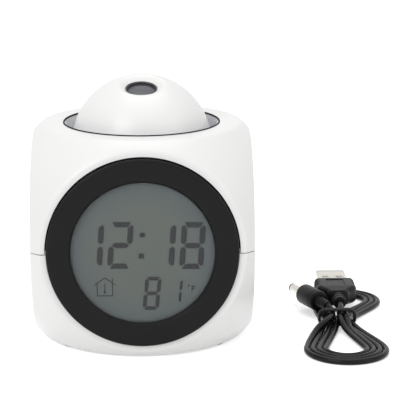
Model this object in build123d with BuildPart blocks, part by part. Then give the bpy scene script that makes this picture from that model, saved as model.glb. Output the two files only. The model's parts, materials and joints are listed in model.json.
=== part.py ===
from build123d import *

import os
from math import acos, cos, degrees, radians, sin, sqrt, tan

os.makedirs("parts", exist_ok=True)

# A projection alarm clock. Millimetres, +Z up, the display faces -Y. The origin is on the surface
# that the clock stands on, below the middle of the case.

# ---------------------------------------------------------------- driving dimensions

# Case: a cube whose edges and corners are cut away by one sphere
CASE_WIDTH = 85.0
CASE_SQUAT = 1.7  # how much lower the case is than it is wide
CENTRE_DOWN = 0.7  # middle of that sphere, the display and the rear panel below the middle of the case
FOOT_PROUD = 0.6
FACE_ANGLE = 42.56  # degrees from the middle of a side to its round edge, seen from the centre
EDGE_ROUND = 2.0
EDGE_ROUND_SHARE = 0.75  # of the surface between two faces, the most that their rounded edges take
WALL = 2.2
SEAM_DOWN = 1.25  # seam below the middle of the case
SEAM_GROOVE = 0.4
TONGUE_HEIGHT = 1.6
TONGUE_SHARE = 0.55  # share of the wall that lies outside the tongue

# Clearances
FIXED_GAP = 0.1
RUNNING_GAP = 0.05
KEY_GAP = 0.2

# Front display
BEZEL_MARGIN = 2.73  # between the bezel and the round edge of the case's front
BEZEL_WIDTH = 9.2
BEZEL_PROUD = 1.5
BEZEL_ROUND = 0.9
BEZEL_LAP = 1.4  # how far the flange reaches behind the wall
BEZEL_GAP_UPPER = 0.6
BEZEL_GAP_LOWER = 0.15
FLANGE_THICK = 1.4
WINDOW_DEPTH = 0.0  # window's front face behind the case's front face
WINDOW_THICK = 1.0
WINDOW_BEVEL = 1.0
GLASS_LAP = 1.4  # how far the glass reaches behind the bezel
GLASS_THICK = 1.1
GLASS_LEDGE_WIDTH = 36.0
GLASS_LEDGE_TALL = 2.5  # contact ledge below the round part of the glass
LIGHT_GUIDE_THICK = 2.5
ZEBRA_TALL = 1.6
BOARD_MARGIN = 0.5  # main board beyond the glass
BOARD_ROUND = 5.0
BOARD_THICK = 1.6
BOARD_SCREW_MARGIN = 0.45  # between a screw's boss and the flange's edge
BOARD_SCREW_ANGLE = 45.0
SMALL_SCREW_R = 0.95
SMALL_SCREW_LENGTH = 3.4
SMALL_HEAD_R = 1.9
SMALL_HEAD_THICK = 1.3
BOSS_R = 2.6

# Rear panel
PANEL_MARGIN = 2.73  # between the panel and the round edge of the case's rear
PANEL_SUNK = 0.6
PANEL_THICK = 2.0
PANEL_LAP = 1.4
PANEL_RIM = 4.0
GRILLE_HOLE_R = 0.9
GRILLE_PITCH = 3.6
GRILLE_RINGS = 3
SPEAKER_RING = 1.3
CONE_INNER_R = 4.5
CONE_OUTER_R = 12.6
CONE_DEEP = 2.3
CONE_THICK = 0.3
KEY_NAMES = ("mode_key", "set_key", "up_key", "down_key", "alarm_key")
KEY_ROUND = 0.5
SLIDER_FLANGE_THICK = 0.7
SLIDER_STEM = 1.6
SLIDER_SWITCH_WIDTH = 10.0
SLIDER_SWITCH_TALL = 5.0
JACK_FLOOR = 0.8
SPEAKER_UP = 14.0
SPEAKER_R = 14.0
SPEAKER_THICK = 3.0
MAGNET_R = 7.0
MAGNET_THICK = 2.6
KEY_COUNT = 5
KEY_PITCH = 10.5
KEY_DOWN = 8.0  # row of keys below the panel's middle
KEY_R = 2.9
KEY_PROUD = 1.0
KEY_TRAVEL = 0.8
KEY_FLANGE = 0.9
KEY_FLANGE_THICK = 0.8
KEY_STEM_R = 1.5
KEY_STEM = 1.5
SWITCH_SIDE = 6.0
SWITCH_THICK = 3.0
PLUNGER_R = 1.6
PLUNGER = 0.9
REAR_BOARD_WIDTH = 62.0
REAR_BOARD_TALL = 26.0
REAR_BOARD_THICK = 1.2
REAR_SCREW_X = 28.0
SLIDER_X = 14.0  # to the right of the middle, seen from behind
LOWER_ROW_DOWN = 21.0
SLIDER_TRAVEL = 3.0
SLIDER_WIDTH = 3.6
SLIDER_TALL = 2.6
SLIDER_PROUD = 0.8
JACK_X = -15.0
JACK_SIDE = 9.0
JACK_BUSH_R = 3.4
JACK_BORE_R = 1.85
JACK_PIN_R = 0.6
JACK_PIN_SUNK = 1.0

# Projector ball and the key that carries it
BALL_R = 27.5
WELL_MARGIN = 3.3  # between the ball and the edge of the well
BALL_SINK = 8.9  # ball's centre below the case's top
BALL_TILT = 17.0  # degrees that the lens leans forward at rest
BALL_WALL = 1.8
NECK_GAP = 0.6
CARRIER_LAP = 0.9  # carrier's shoulder under the case's top
CARRIER_DROP = 9.0  # carrier's lower edge below the ball's centre
BALL_GAP = 0.6
DISH_FLARE = 1.5
DISH_DEEP = 6.0
PRESS_TRAVEL = 1.5
SPRING_TALL = 6.0
SPRING_R = 1.25
SPRING_WIRE_R = 0.2
SPRING_TURNS = 4.5
TUBE_WALL = 1.3
LEDGE_THICK = 1.5
LEDGE_WIDTH = 3.2
PIN_R = 2.0
PIN_HEAD_R = 3.4
PIN_HEAD_THICK = 1.2
LENS_HOLE_R = 6.2
LENS_R = 5.5
LENS_DISH_R = 9.0  # shallow dish around the lens
LENS_SUNK = 1.8  # lens ring below the dish's rim
LENS_RING_DEEP = 1.3
LENS_DEEP = 3.6
LENS_APEX_SUNK = 0.3
LENS_CURVE_R = 20.0
CONDENSER_CURVE_R = 14.0
BARREL_LENGTH = 15.0
SLIDE_SIDE = 12.0
SLIDE_THICK = 1.6
LIGHT_BOX_R = 9.4
LIGHT_BOX_LENGTH = 12.0
LIGHT_BOX_WALL = 1.2
CONDENSER_THICK = 3.6
LED_R = 2.5
LED_TALL = 5.0
LAMP_BOARD_THICK = 1.2
LAMP_BOARD_R = 13.4
LAMP_POST_OUT = 11.2
LAMP_POST_R = 2.0
LAMP_SCREW_R = 0.8
LAMP_SCREW_LENGTH = 4.0
LAMP_HEAD_R = 1.5
LAMP_HEAD_THICK = 1.0
BALL_POST_OUT = 18.5
BALL_POST_R = 2.6
BALL_SCREW_TOP = 7.5
BALL_POST_SCREW_DOWN = 12.0
BALL_HEAD_R = 1.9
LEAD_HOLE_R = 1.6
LENS_TUBE = 7.0
LENS_TUBE_WALL = 2.2
DISH_SUNK = 0.2
SPRING_ANGLES = (45.0, 135.0, 225.0, 315.0)
SNOOZE_SWITCH_TALL = 3.4
SNOOZE_SWITCH_DEEP = 2.9
SNOOZE_PLUNGER_R = 1.0

# Case fixings
POST_R = 3.2
POST_ANGLE = 30.0
POST_SCREW_R = 1.3
POST_HEAD_R = 2.4
POST_HEAD_THICK = 1.8
POST_SCREW_BELOW_SEAM = 7.0
POST_SCREW_ABOVE_SEAM = 9.0

# Battery box and underside
CELL_R = 5.25
CELL_LENGTH = 44.5
CELL_COUNT = 3
CELL_PITCH = 11.3
CELL_PIP_R = 1.9
CELL_PIP = 0.9
BOX_LENGTH = 50.0
BOX_WALL = 1.4
DOOR_THICK = 1.6
DOOR_LAP = 1.5
DOOR_FRONT = 2.0  # door's front edge ahead of the battery box
TONGUE_REACH = 1.0
TONGUE_THICK = 0.8
CONTACT_THICK = 0.3
CONTACT_SIDE = 8.0
CELL_SPRING_R = 3.0
CELL_SPRING_WIRE_R = 0.3
CELL_SPRING_TURNS = 3.5
CELL_SPRING_END = 0.6
DOOR_GROOVES = 4
DOOR_GROOVE_Y = 28.0
DOOR_GROOVE_PITCH = 2.0
DOOR_GROOVE_WIDTH = 14.0
FOOT_R = 3.5
FOOT_SUNK = 0.6
FOOT_ANGLE = 40.6
FOOT_MARGIN = 0.9  # between a foot and the round edge of the case's underside

# On the boards, with places from the middle of the display
CHIP_R = 6.0
CHIP_THICK = 1.2
CHIP_DOWN = 4.0
CRYSTAL_R = 1.0
CRYSTAL_LENGTH = 6.0
CRYSTAL_X = 14.0
CRYSTAL_UP = 2.0
THERMISTOR_R = 1.2
THERMISTOR_X = -20.0
THERMISTOR_DOWN = 26.0
VOICE_CHIP_WIDTH = 8.0
VOICE_CHIP_TALL = 6.0
VOICE_CHIP_THICK = 1.5
VOICE_CHIP_X = -14.0
VOICE_CHIP_UP = 8.0
LEAD_R = 1.1
LEAD_CLEAR = 0.5
THIN_LEAD_R = 0.6
THIN_LEAD_BEND = 1.4
SPEAKER_LEAD_X = 4.0
SPEAKER_LEAD_DROP = 3.0
SPEAKER_LEAD_OUT = 3.0
SPEAKER_LEAD_END = 2.0  # where the leads meet the key board, above the row of keys
BATTERY_LEAD_X = 12.0
BATTERY_LEAD_RISE = 11.0
PROJECTOR_LEAD_X = 10.0
PROJECTOR_LEAD_Z = 36.0
PROJECTOR_LEAD_BEND = 4.0
RIBBON_Z = 24.0
RIBBON_WIDTH = 12.0
RIBBON_THICK = 0.3
RIBBON_REACH = 12.0
RIBBON_SAG = 5.0
RIBBON_BEND = 6.0

# Power lead, folded into a hank that lies beside the clock. Places are from the middle of its tie
LEAD_X = 78.0
LEAD_Y = -3.0
CORD_R = 1.2
LOBE_THICK = 2.5
NEAR_LOBE = (0.0, -34.5, 16.5)  # x, y and radius of the hank's loop towards the front
FAR_LOBE = (6.2, 30.5, 15.2)
WAIST_HALF = 6.6
WAIST_TALL = 4.9
WAIST_NEAR = 8.0
TIE_THICK = 1.2
TIE_WIDTH = 3.0
TIE_GAP = 0.7
DC_TURN = 23.6  # degrees that the DC plug leans to the left of straight back
DC_END = (-3.3, 5.6)
DC_RELIEF = 7.0
DC_RELIEF_R = 2.3
DC_GRIP = 12.6
DC_GRIP_R = 4.2
DC_BARREL_R = 1.75
DC_BARREL = 9.5
DC_HOLE_R = 0.7
DC_TIP = 1.0
USB_X = 2.3
USB_END_Y = 10.9
USB_RELIEF = 6.6
USB_RELIEF_R = 3.0
USB_GRIP = 18.0
USB_GRIP_WIDTH = 16.6
USB_GRIP_TALL = 7.6
USB_GRIP_NECK = 8.5
USB_GRIP_TAPER = 7.0
USB_GRIP_ROUND = 2.0
USB_SHELL_WIDTH = 12.0
USB_SHELL_TALL = 4.5
USB_SHELL = 16.0
USB_SHELL_WALL = 0.3
USB_WINDOW = (2.3, 2.2)
USB_WINDOW_X = 2.9
USB_WINDOW_Y = 6.5
USB_TONGUE_TALL = 1.9

# Ribs behind the rims of the bezel and the rear panel
RIB_X = 14.0
RIB_THICK = 2.0
RIB_DEEP = 2.0
RIB_TALL = 3.0
RIB_LIFT = 1.5

# ---------------------------------------------------------------- derived sizes

CASE_BOTTOM_Z = FOOT_PROUD
CASE_HEIGHT = CASE_WIDTH - CASE_SQUAT
CASE_TOP_Z = CASE_BOTTOM_Z + CASE_HEIGHT
CASE_MID_Z = CASE_BOTTOM_Z + CASE_HEIGHT / 2
CENTRE_Z = CASE_MID_Z - CENTRE_DOWN
SEAM_Z = CASE_MID_Z - SEAM_DOWN
CORNER_R = CASE_WIDTH / 2 / cos(radians(FACE_ANGLE))
FACE_R = CORNER_R * sin(radians(FACE_ANGLE))
INNER_TOP_Z = CASE_TOP_Z - WALL
INNER_FLOOR_Z = CASE_BOTTOM_Z + WALL

# Planes whose Z points out of the case, with Y up
FRONT = Plane((0, -CASE_WIDTH / 2, CENTRE_Z), x_dir=(1, 0, 0), z_dir=(0, -1, 0))
REAR = Plane((0, CASE_WIDTH / 2, CENTRE_Z), x_dir=(-1, 0, 0), z_dir=(0, 1, 0))

# Round parts of the front and the rear
BEZEL_R = FACE_R - BEZEL_MARGIN
PANEL_R = FACE_R - PANEL_MARGIN
WINDOW_R = BEZEL_R - BEZEL_WIDTH
GLASS_R = WINDOW_R + GLASS_LAP
GLASS_LEDGE_DROP = GLASS_R + GLASS_LEDGE_TALL
BOARD_WIDTH = 2 * (GLASS_R + BOARD_MARGIN)
BOARD_TALL = GLASS_LEDGE_DROP + GLASS_R + 2 * BOARD_MARGIN
BOARD_SCREW_R = BEZEL_R + BEZEL_LAP - BOSS_R - BOARD_SCREW_MARGIN
BOARD_SCREW_X = BOARD_SCREW_R * cos(radians(BOARD_SCREW_ANGLE))
BOARD_SCREW_Z = BOARD_SCREW_R * sin(radians(BOARD_SCREW_ANGLE))

# Stack behind the display window, as heights on FRONT
FLANGE_FRONT = -WALL
FLANGE_BACK = FLANGE_FRONT - FLANGE_THICK
WINDOW_FRONT = -WINDOW_DEPTH
GLASS_FRONT = WINDOW_FRONT - WINDOW_THICK
GLASS_MIDDLE = GLASS_FRONT - GLASS_THICK
GLASS_BACK = GLASS_MIDDLE - GLASS_THICK
BOARD_FRONT = GLASS_BACK - LIGHT_GUIDE_THICK
BOARD_BACK = BOARD_FRONT - BOARD_THICK

# Stack inside the rear panel, as heights on REAR
PANEL_OUTER = -PANEL_SUNK
PANEL_INNER = PANEL_OUTER - PANEL_THICK
PANEL_FLANGE_OUTER = -WALL
PANEL_FLANGE_INNER = PANEL_FLANGE_OUTER - FLANGE_THICK
KEY_STEM_END = PANEL_INNER - KEY_FLANGE_THICK - KEY_STEM
PLUNGER_END = KEY_STEM_END - KEY_TRAVEL - FIXED_GAP
SWITCH_FRONT = PLUNGER_END - PLUNGER
REAR_BOARD_FRONT = SWITCH_FRONT - SWITCH_THICK
REAR_BOARD_BACK = REAR_BOARD_FRONT - REAR_BOARD_THICK
SPEAKER = Plane(REAR.from_local_coords((0, SPEAKER_UP, 0)), x_dir=REAR.x_dir, z_dir=REAR.z_dir)
RING_END = PANEL_INNER - SPEAKER_THICK - MAGNET_THICK / 2
SLIDER_SWITCH_FRONT = PANEL_INNER - SLIDER_FLANGE_THICK - FIXED_GAP
SLIDER_STEM_END = SLIDER_SWITCH_FRONT - SLIDER_STEM
SLIDER_FLANGE_WIDTH = SLIDER_WIDTH + 2 * SLIDER_TRAVEL + 4 * KEY_GAP
SLIDER_REST_X = SLIDER_X - SLIDER_TRAVEL / 2
JACK_PLACE = (JACK_X, -LOWER_ROW_DOWN)
JACK_BORE_END = REAR_BOARD_FRONT + JACK_FLOOR

# Ball, carrier and guide tube
BALL_Z = CASE_TOP_Z - BALL_SINK
BALL = Plane(
    (0, 0, BALL_Z),
    x_dir=(1, 0, 0),
    z_dir=(0, -sin(radians(BALL_TILT)), cos(radians(BALL_TILT))),
)
WELL_R = BALL_R + WELL_MARGIN
NECK_R = WELL_R - NECK_GAP
CARRIER_R = WELL_R + CARRIER_LAP
CARRIER_INNER_R = BALL_R + BALL_GAP
CARRIER_BOTTOM_Z = BALL_Z - CARRIER_DROP
TUBE_INNER_R = CARRIER_R + FIXED_GAP
TUBE_OUTER_R = TUBE_INNER_R + TUBE_WALL
LEDGE_Z = CARRIER_BOTTOM_Z - SPRING_TALL
LEDGE_INNER_R = TUBE_INNER_R - LEDGE_WIDTH
SPRING_CIRCLE_R = (LEDGE_INNER_R + TUBE_INNER_R) / 2
LENS_TOP = sqrt(BALL_R**2 - LENS_DISH_R**2) - LENS_SUNK
DISH_SLOPE = (LENS_DISH_R - LENS_HOLE_R) / LENS_SUNK
BARREL_R = LENS_HOLE_R - FIXED_GAP
BARREL_LOW = LENS_TOP - BARREL_LENGTH
LIGHT_BOX_LOW = BARREL_LOW - SLIDE_THICK - LIGHT_BOX_LENGTH
POST_CIRCLE_R = TUBE_OUTER_R + POST_R - 0.4
DISH_TOP_Z = CASE_TOP_Z - DISH_SUNK
TRUNNION = Plane((0, 0, BALL_Z), x_dir=(0, 1, 0), z_dir=(1, 0, 0))
LAMP_BOARD_LOW = LIGHT_BOX_LOW - LAMP_BOARD_THICK
BALL_HEAD_LOW = -BALL_POST_SCREW_DOWN
SLIDE_LOW = BARREL_LOW - SLIDE_THICK
CONDENSER_LOW = SLIDE_LOW - CONDENSER_THICK - 1.0
CONDENSER_R = LIGHT_BOX_R - LIGHT_BOX_WALL - FIXED_GAP
PIN_START = sqrt((BALL_R - BALL_WALL) ** 2 - PIN_HEAD_R**2) - PIN_HEAD_THICK

# Battery box
CHANNEL_TOP_Z = CASE_BOTTOM_Z + DOOR_THICK + RUNNING_GAP
CELL_Z = CHANNEL_TOP_Z + 0.25 + CELL_R
CELL_MIDDLE_Y = BOX_LENGTH / 2 - CONTACT_THICK - CELL_PIP - (CELL_LENGTH - CELL_PIP) / 2
CELL_SPRING_LENGTH = BOX_LENGTH - 2 * CONTACT_THICK - CELL_LENGTH - 2 * CELL_SPRING_END
BOX_TOP_Z = CELL_Z + CELL_R + FIXED_GAP
BOX_HALF_WIDTH = CELL_PITCH * (CELL_COUNT - 1) / 2 + CELL_R + FIXED_GAP
DOOR_HALF_WIDTH = BOX_HALF_WIDTH + DOOR_LAP
DOOR_FRONT_Y = -BOX_LENGTH / 2 - DOOR_FRONT
CASE_BACK_Y = CASE_WIDTH / 2
TONGUE_LOW_Z = CASE_BOTTOM_Z + (DOOR_THICK - TONGUE_THICK) / 2
POST_HEAD_Z = SEAM_Z - POST_SCREW_BELOW_SEAM

POST_PLACES = [
    (POST_CIRCLE_R * cos(radians(angle)), POST_CIRCLE_R * sin(radians(angle)))
    for angle in (POST_ANGLE, 180 - POST_ANGLE, 180 + POST_ANGLE, 360 - POST_ANGLE)
]
FOOT_CIRCLE_R = sqrt(CORNER_R**2 - (CENTRE_Z - CASE_BOTTOM_Z) ** 2) - FOOT_R - FOOT_MARGIN
FOOT_X = FOOT_CIRCLE_R * cos(radians(FOOT_ANGLE))
FOOT_Y = FOOT_CIRCLE_R * sin(radians(FOOT_ANGLE))
FOOT_PLACES = [(x, y) for x in (-FOOT_X, FOOT_X) for y in (-FOOT_Y, FOOT_Y)]
BOARD_SCREW_PLACES = [
    (x, z) for x in (-BOARD_SCREW_X, BOARD_SCREW_X) for z in (-BOARD_SCREW_Z, BOARD_SCREW_Z)
]
KEY_PLACES = [
    ((index - (KEY_COUNT - 1) / 2) * KEY_PITCH, -KEY_DOWN) for index in range(KEY_COUNT)
]
REAR_SCREW_PLACES = [(-REAR_SCREW_X, -KEY_DOWN), (REAR_SCREW_X, -KEY_DOWN)]
LAMP_POST_PLACES = [(0, -LAMP_POST_OUT), (0, LAMP_POST_OUT)]
BALL_POST_PLACES = [(0, -BALL_POST_OUT), (0, BALL_POST_OUT)]
GRILLE_PLACES = [(0, SPEAKER_UP)] + [
    (
        ring * GRILLE_PITCH * cos(radians(360 * index / (6 * ring))),
        SPEAKER_UP + ring * GRILLE_PITCH * sin(radians(360 * index / (6 * ring))),
    )
    for ring in range(1, GRILLE_RINGS + 1)
    for index in range(6 * ring)
]
CELL_PLACES = [(index - (CELL_COUNT - 1) / 2) * CELL_PITCH for index in range(CELL_COUNT)]

# ---------------------------------------------------------------- shared helpers

STANDING = (Align.CENTER, Align.CENTER, Align.MIN)
HANGING = (Align.CENTER, Align.CENTER, Align.MAX)


def keep(builder, name):
    """Label a finished piece and write it under its own name."""
    builder.part.label = name
    export_step(builder.part, f"parts/{name}.step")


def drum(radius, low, high, mode=Mode.ADD):
    """A cylinder about the workplane's axis, from one height to another."""
    with Locations((0, 0, (low + high) / 2)):
        Cylinder(radius, high - low, mode=mode)


def drums(places, radius, low, high, mode=Mode.ADD):
    """The same cylinder at each place on the workplane."""
    with Locations(*[(x, y, (low + high) / 2) for x, y in places]):
        Cylinder(radius, high - low, mode=mode)


def block(x_range, y_range, z_range, mode=Mode.ADD):
    """A box between two corners, given as a range along each axis."""
    ranges = (x_range, y_range, z_range)
    with Locations(tuple(sum(ends) / 2 for ends in ranges)):
        Box(*(ends[1] - ends[0] for ends in ranges), mode=mode)


def round_edges(builder, radius):
    """The circular edges of that radius on the piece so far."""
    circles = builder.edges().filter_by(GeomType.CIRCLE)
    return circles.filter_by(lambda edge: abs(edge.radius - radius) < 1e-6)


def case_body(inset):
    """The outline of the case, moved in by that much on every side."""
    half_width = CASE_WIDTH / 2 - inset
    half_height = CASE_HEIGHT / 2 - inset
    sphere_r = CORNER_R - inset
    with BuildPart() as body:
        with Locations((0, 0, CASE_MID_Z)):
            Box(2 * half_width, 2 * half_width, 2 * half_height)
        with Locations((0, 0, CENTRE_Z)):
            Sphere(sphere_r, mode=Mode.INTERSECT)
        if inset == 0:
            side_angle = degrees(acos(half_width / sphere_r))
            low_angle = degrees(acos((half_height - abs(CENTRE_DOWN)) / sphere_r))
            spare = radians(90 - side_angle - max(side_angle, low_angle)) * sphere_r
            used = 2 * tan(radians(max(side_angle, low_angle) / 2))
            limit = EDGE_ROUND_SHARE * spare / used
            fillet(body.edges().filter_by(GeomType.CIRCLE), min(EDGE_ROUND, limit))
    return body.part


def wall_opening(plane, radius):
    """Cut a round opening through the wall that the plane lies on."""
    with Locations(plane):
        Cylinder(radius, 4 * WALL, mode=Mode.SUBTRACT)


# ---------------------------------------------------------------- case

outline = case_body(0)
hollow = case_body(WALL)
UPPER_EDGE_Z = SEAM_Z + SEAM_GROOVE

with BuildPart() as rebate:
    add(case_body(WALL * TONGUE_SHARE - FIXED_GAP))
    block(
        (-CASE_WIDTH, CASE_WIDTH),
        (-CASE_WIDTH, CASE_WIDTH),
        (SEAM_Z, SEAM_Z + TONGUE_HEIGHT + FIXED_GAP),
        mode=Mode.INTERSECT,
    )

with BuildPart() as tongue:
    add(case_body(WALL * TONGUE_SHARE))
    block(
        (-CASE_WIDTH, CASE_WIDTH),
        (-CASE_WIDTH, CASE_WIDTH),
        (SEAM_Z - TONGUE_HEIGHT, SEAM_Z + TONGUE_HEIGHT),
        mode=Mode.INTERSECT,
    )
    add(hollow, mode=Mode.SUBTRACT)

with BuildPart() as upper_shell:
    add(outline)
    add(hollow, mode=Mode.SUBTRACT)
    split(bisect_by=Plane.XY.offset(UPPER_EDGE_Z), keep=Keep.TOP)
    add(rebate.part, mode=Mode.SUBTRACT)
    # guide tube, ledge and screw posts hang from the top wall
    drum(TUBE_OUTER_R, LEDGE_Z - LEDGE_THICK, INNER_TOP_Z)
    drums(POST_PLACES, POST_R, SEAM_Z, INNER_TOP_Z)
    add(outline, mode=Mode.INTERSECT)
    drum(TUBE_INNER_R, LEDGE_Z, INNER_TOP_Z, mode=Mode.SUBTRACT)
    drum(LEDGE_INNER_R, LEDGE_Z - LEDGE_THICK, LEDGE_Z, mode=Mode.SUBTRACT)
    drum(WELL_R, INNER_TOP_Z, CASE_TOP_Z, mode=Mode.SUBTRACT)
    wall_opening(FRONT, BEZEL_R + BEZEL_GAP_UPPER)
    wall_opening(REAR, PANEL_R + BEZEL_GAP_LOWER)
    drums(POST_PLACES, POST_SCREW_R, SEAM_Z, SEAM_Z + POST_SCREW_ABOVE_SEAM, mode=Mode.SUBTRACT)

with BuildPart() as lower_shell:
    add(outline)
    add(hollow, mode=Mode.SUBTRACT)
    split(bisect_by=Plane.XY.offset(SEAM_Z), keep=Keep.BOTTOM)
    add(tongue.part)
    drums(POST_PLACES, POST_R, INNER_FLOOR_Z, SEAM_Z)
    # ribs that hold the rims of the bezel and the rear panel from behind
    for plane, rim_r in ((FRONT, BEZEL_R + BEZEL_LAP), (REAR, PANEL_R + PANEL_LAP)):
        inner = -WALL - FLANGE_THICK
        for side in (-1, 1):
            with Locations(
                plane.location * Location((side * RIB_X, RIB_LIFT - rim_r, inner - RIB_DEEP / 2))
            ):
                Box(RIB_THICK, 2 * RIB_TALL, RIB_DEEP)
    # battery box, and a thicker floor above the door's channel
    block(
        (-BOX_HALF_WIDTH - BOX_WALL, BOX_HALF_WIDTH + BOX_WALL),
        (-BOX_LENGTH / 2 - BOX_WALL, BOX_LENGTH / 2 + BOX_WALL),
        (INNER_FLOOR_Z, BOX_TOP_Z + BOX_WALL),
    )
    block(
        (-DOOR_HALF_WIDTH - 2 * TONGUE_REACH, DOOR_HALF_WIDTH + 2 * TONGUE_REACH),
        (DOOR_FRONT_Y - BOX_WALL, CASE_BACK_Y - WALL),
        (INNER_FLOOR_Z, CHANNEL_TOP_Z + BOX_WALL),
    )
    add(outline, mode=Mode.INTERSECT)
    block(
        (-BOX_HALF_WIDTH, BOX_HALF_WIDTH),
        (-BOX_LENGTH / 2, BOX_LENGTH / 2),
        (CASE_BOTTOM_Z, BOX_TOP_Z),
        mode=Mode.SUBTRACT,
    )
    block(
        (-DOOR_HALF_WIDTH - RUNNING_GAP, DOOR_HALF_WIDTH + RUNNING_GAP),
        (DOOR_FRONT_Y - FIXED_GAP, CASE_BACK_Y + WALL),
        (0, CHANNEL_TOP_Z),
        mode=Mode.SUBTRACT,
    )
    block(
        (-DOOR_HALF_WIDTH - TONGUE_REACH - RUNNING_GAP, DOOR_HALF_WIDTH + TONGUE_REACH + RUNNING_GAP),
        (DOOR_FRONT_Y - FIXED_GAP, CASE_BACK_Y + WALL),
        (TONGUE_LOW_Z - RUNNING_GAP, TONGUE_LOW_Z + TONGUE_THICK + RUNNING_GAP),
        mode=Mode.SUBTRACT,
    )
    # deep screw holes from below, with the heads' seats high up inside the posts
    drums(POST_PLACES, POST_HEAD_R + FIXED_GAP, 0, POST_HEAD_Z, mode=Mode.SUBTRACT)
    drums(POST_PLACES, POST_SCREW_R + FIXED_GAP, POST_HEAD_Z, SEAM_Z, mode=Mode.SUBTRACT)
    drums(FOOT_PLACES, FOOT_R, 0, CASE_BOTTOM_Z + FOOT_SUNK, mode=Mode.SUBTRACT)
    wall_opening(FRONT, BEZEL_R + BEZEL_GAP_LOWER)
    wall_opening(REAR, PANEL_R + BEZEL_GAP_LOWER)

keep(upper_shell, "upper_shell")
keep(lower_shell, "lower_shell")

with BuildPart() as case_screws:
    drums(POST_PLACES, POST_SCREW_R, POST_HEAD_Z, SEAM_Z + POST_SCREW_ABOVE_SEAM - FIXED_GAP)
    drums(POST_PLACES, POST_HEAD_R, POST_HEAD_Z - POST_HEAD_THICK, POST_HEAD_Z)
    for x, y in POST_PLACES:
        with Locations((x, y, POST_HEAD_Z - POST_HEAD_THICK)):
            Box(POST_HEAD_R, 0.6, 1.2, mode=Mode.SUBTRACT)
            Box(0.6, POST_HEAD_R, 1.2, mode=Mode.SUBTRACT)
keep(case_screws, "case_screws")

with BuildPart() as rubber_feet:
    drums(FOOT_PLACES, FOOT_R, 0, CASE_BOTTOM_Z + FOOT_SUNK)
    fillet(rubber_feet.edges().group_by(Axis.Z)[0], 0.3)
keep(rubber_feet, "rubber_feet")

# ---------------------------------------------------------------- front display

with BuildPart(FRONT) as display_bezel:
    drum(BEZEL_R, FLANGE_BACK, BEZEL_PROUD)
    fillet(display_bezel.edges().group_by(Axis.Y)[0], BEZEL_ROUND)
    drum(BEZEL_R + BEZEL_LAP, FLANGE_BACK, FLANGE_FRONT)
    drums(BOARD_SCREW_PLACES, BOSS_R, BOARD_FRONT, FLANGE_BACK)
    drum(WINDOW_R, FLANGE_BACK, BEZEL_PROUD, mode=Mode.SUBTRACT)
    chamfer(round_edges(display_bezel, WINDOW_R).sort_by(Axis.Y)[0], WINDOW_BEVEL)
    drum(GLASS_R + FIXED_GAP, FLANGE_BACK, WINDOW_FRONT, mode=Mode.SUBTRACT)
    block(
        (-GLASS_LEDGE_WIDTH / 2 - FIXED_GAP, GLASS_LEDGE_WIDTH / 2 + FIXED_GAP),
        (-GLASS_LEDGE_DROP - FIXED_GAP, 0),
        (FLANGE_BACK, GLASS_MIDDLE),
        mode=Mode.SUBTRACT,
    )
    drums(
        BOARD_SCREW_PLACES,
        SMALL_SCREW_R,
        BOARD_FRONT,
        BOARD_FRONT + SMALL_SCREW_LENGTH - BOARD_THICK + FIXED_GAP,
        mode=Mode.SUBTRACT,
    )
keep(display_bezel, "display_bezel")

with BuildPart(FRONT) as display_window:
    drum(GLASS_R, GLASS_FRONT, WINDOW_FRONT)
keep(display_window, "display_window")

with BuildPart(FRONT) as lcd_panel:
    drum(GLASS_R, GLASS_BACK, GLASS_FRONT)
    block(
        (-GLASS_LEDGE_WIDTH / 2, GLASS_LEDGE_WIDTH / 2),
        (-GLASS_LEDGE_DROP, 0),
        (GLASS_BACK, GLASS_MIDDLE),
    )
keep(lcd_panel, "lcd_panel")

LIGHT_GUIDE_LOW = GLASS_LEDGE_DROP - ZEBRA_TALL - 1.0
with BuildPart(FRONT) as light_guide:
    drum(GLASS_R, BOARD_FRONT, GLASS_BACK)
    block(
        (-GLASS_R, GLASS_R),
        (-2 * GLASS_R, -LIGHT_GUIDE_LOW + 1.0),
        (BOARD_FRONT, GLASS_BACK),
        mode=Mode.SUBTRACT,
    )
keep(light_guide, "light_guide")

with BuildPart(FRONT) as zebra_strip:
    block(
        (-GLASS_LEDGE_WIDTH / 2 + 1.0, GLASS_LEDGE_WIDTH / 2 - 1.0),
        (-GLASS_LEDGE_DROP + 0.3, -GLASS_LEDGE_DROP + 0.3 + ZEBRA_TALL),
        (BOARD_FRONT, GLASS_BACK),
    )
keep(zebra_strip, "zebra_strip")

with BuildPart(FRONT) as main_board:
    with BuildSketch(FRONT.offset(BOARD_BACK)):
        with Locations((0, (GLASS_R - GLASS_LEDGE_DROP) / 2)):
            RectangleRounded(BOARD_WIDTH, BOARD_TALL, BOARD_ROUND)
    extrude(amount=BOARD_THICK)
    drums(BOARD_SCREW_PLACES, SMALL_SCREW_R + FIXED_GAP, BOARD_BACK, BOARD_FRONT, mode=Mode.SUBTRACT)
keep(main_board, "main_board")

# ---------------------------------------------------------------- rear panel and what it carries

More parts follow.
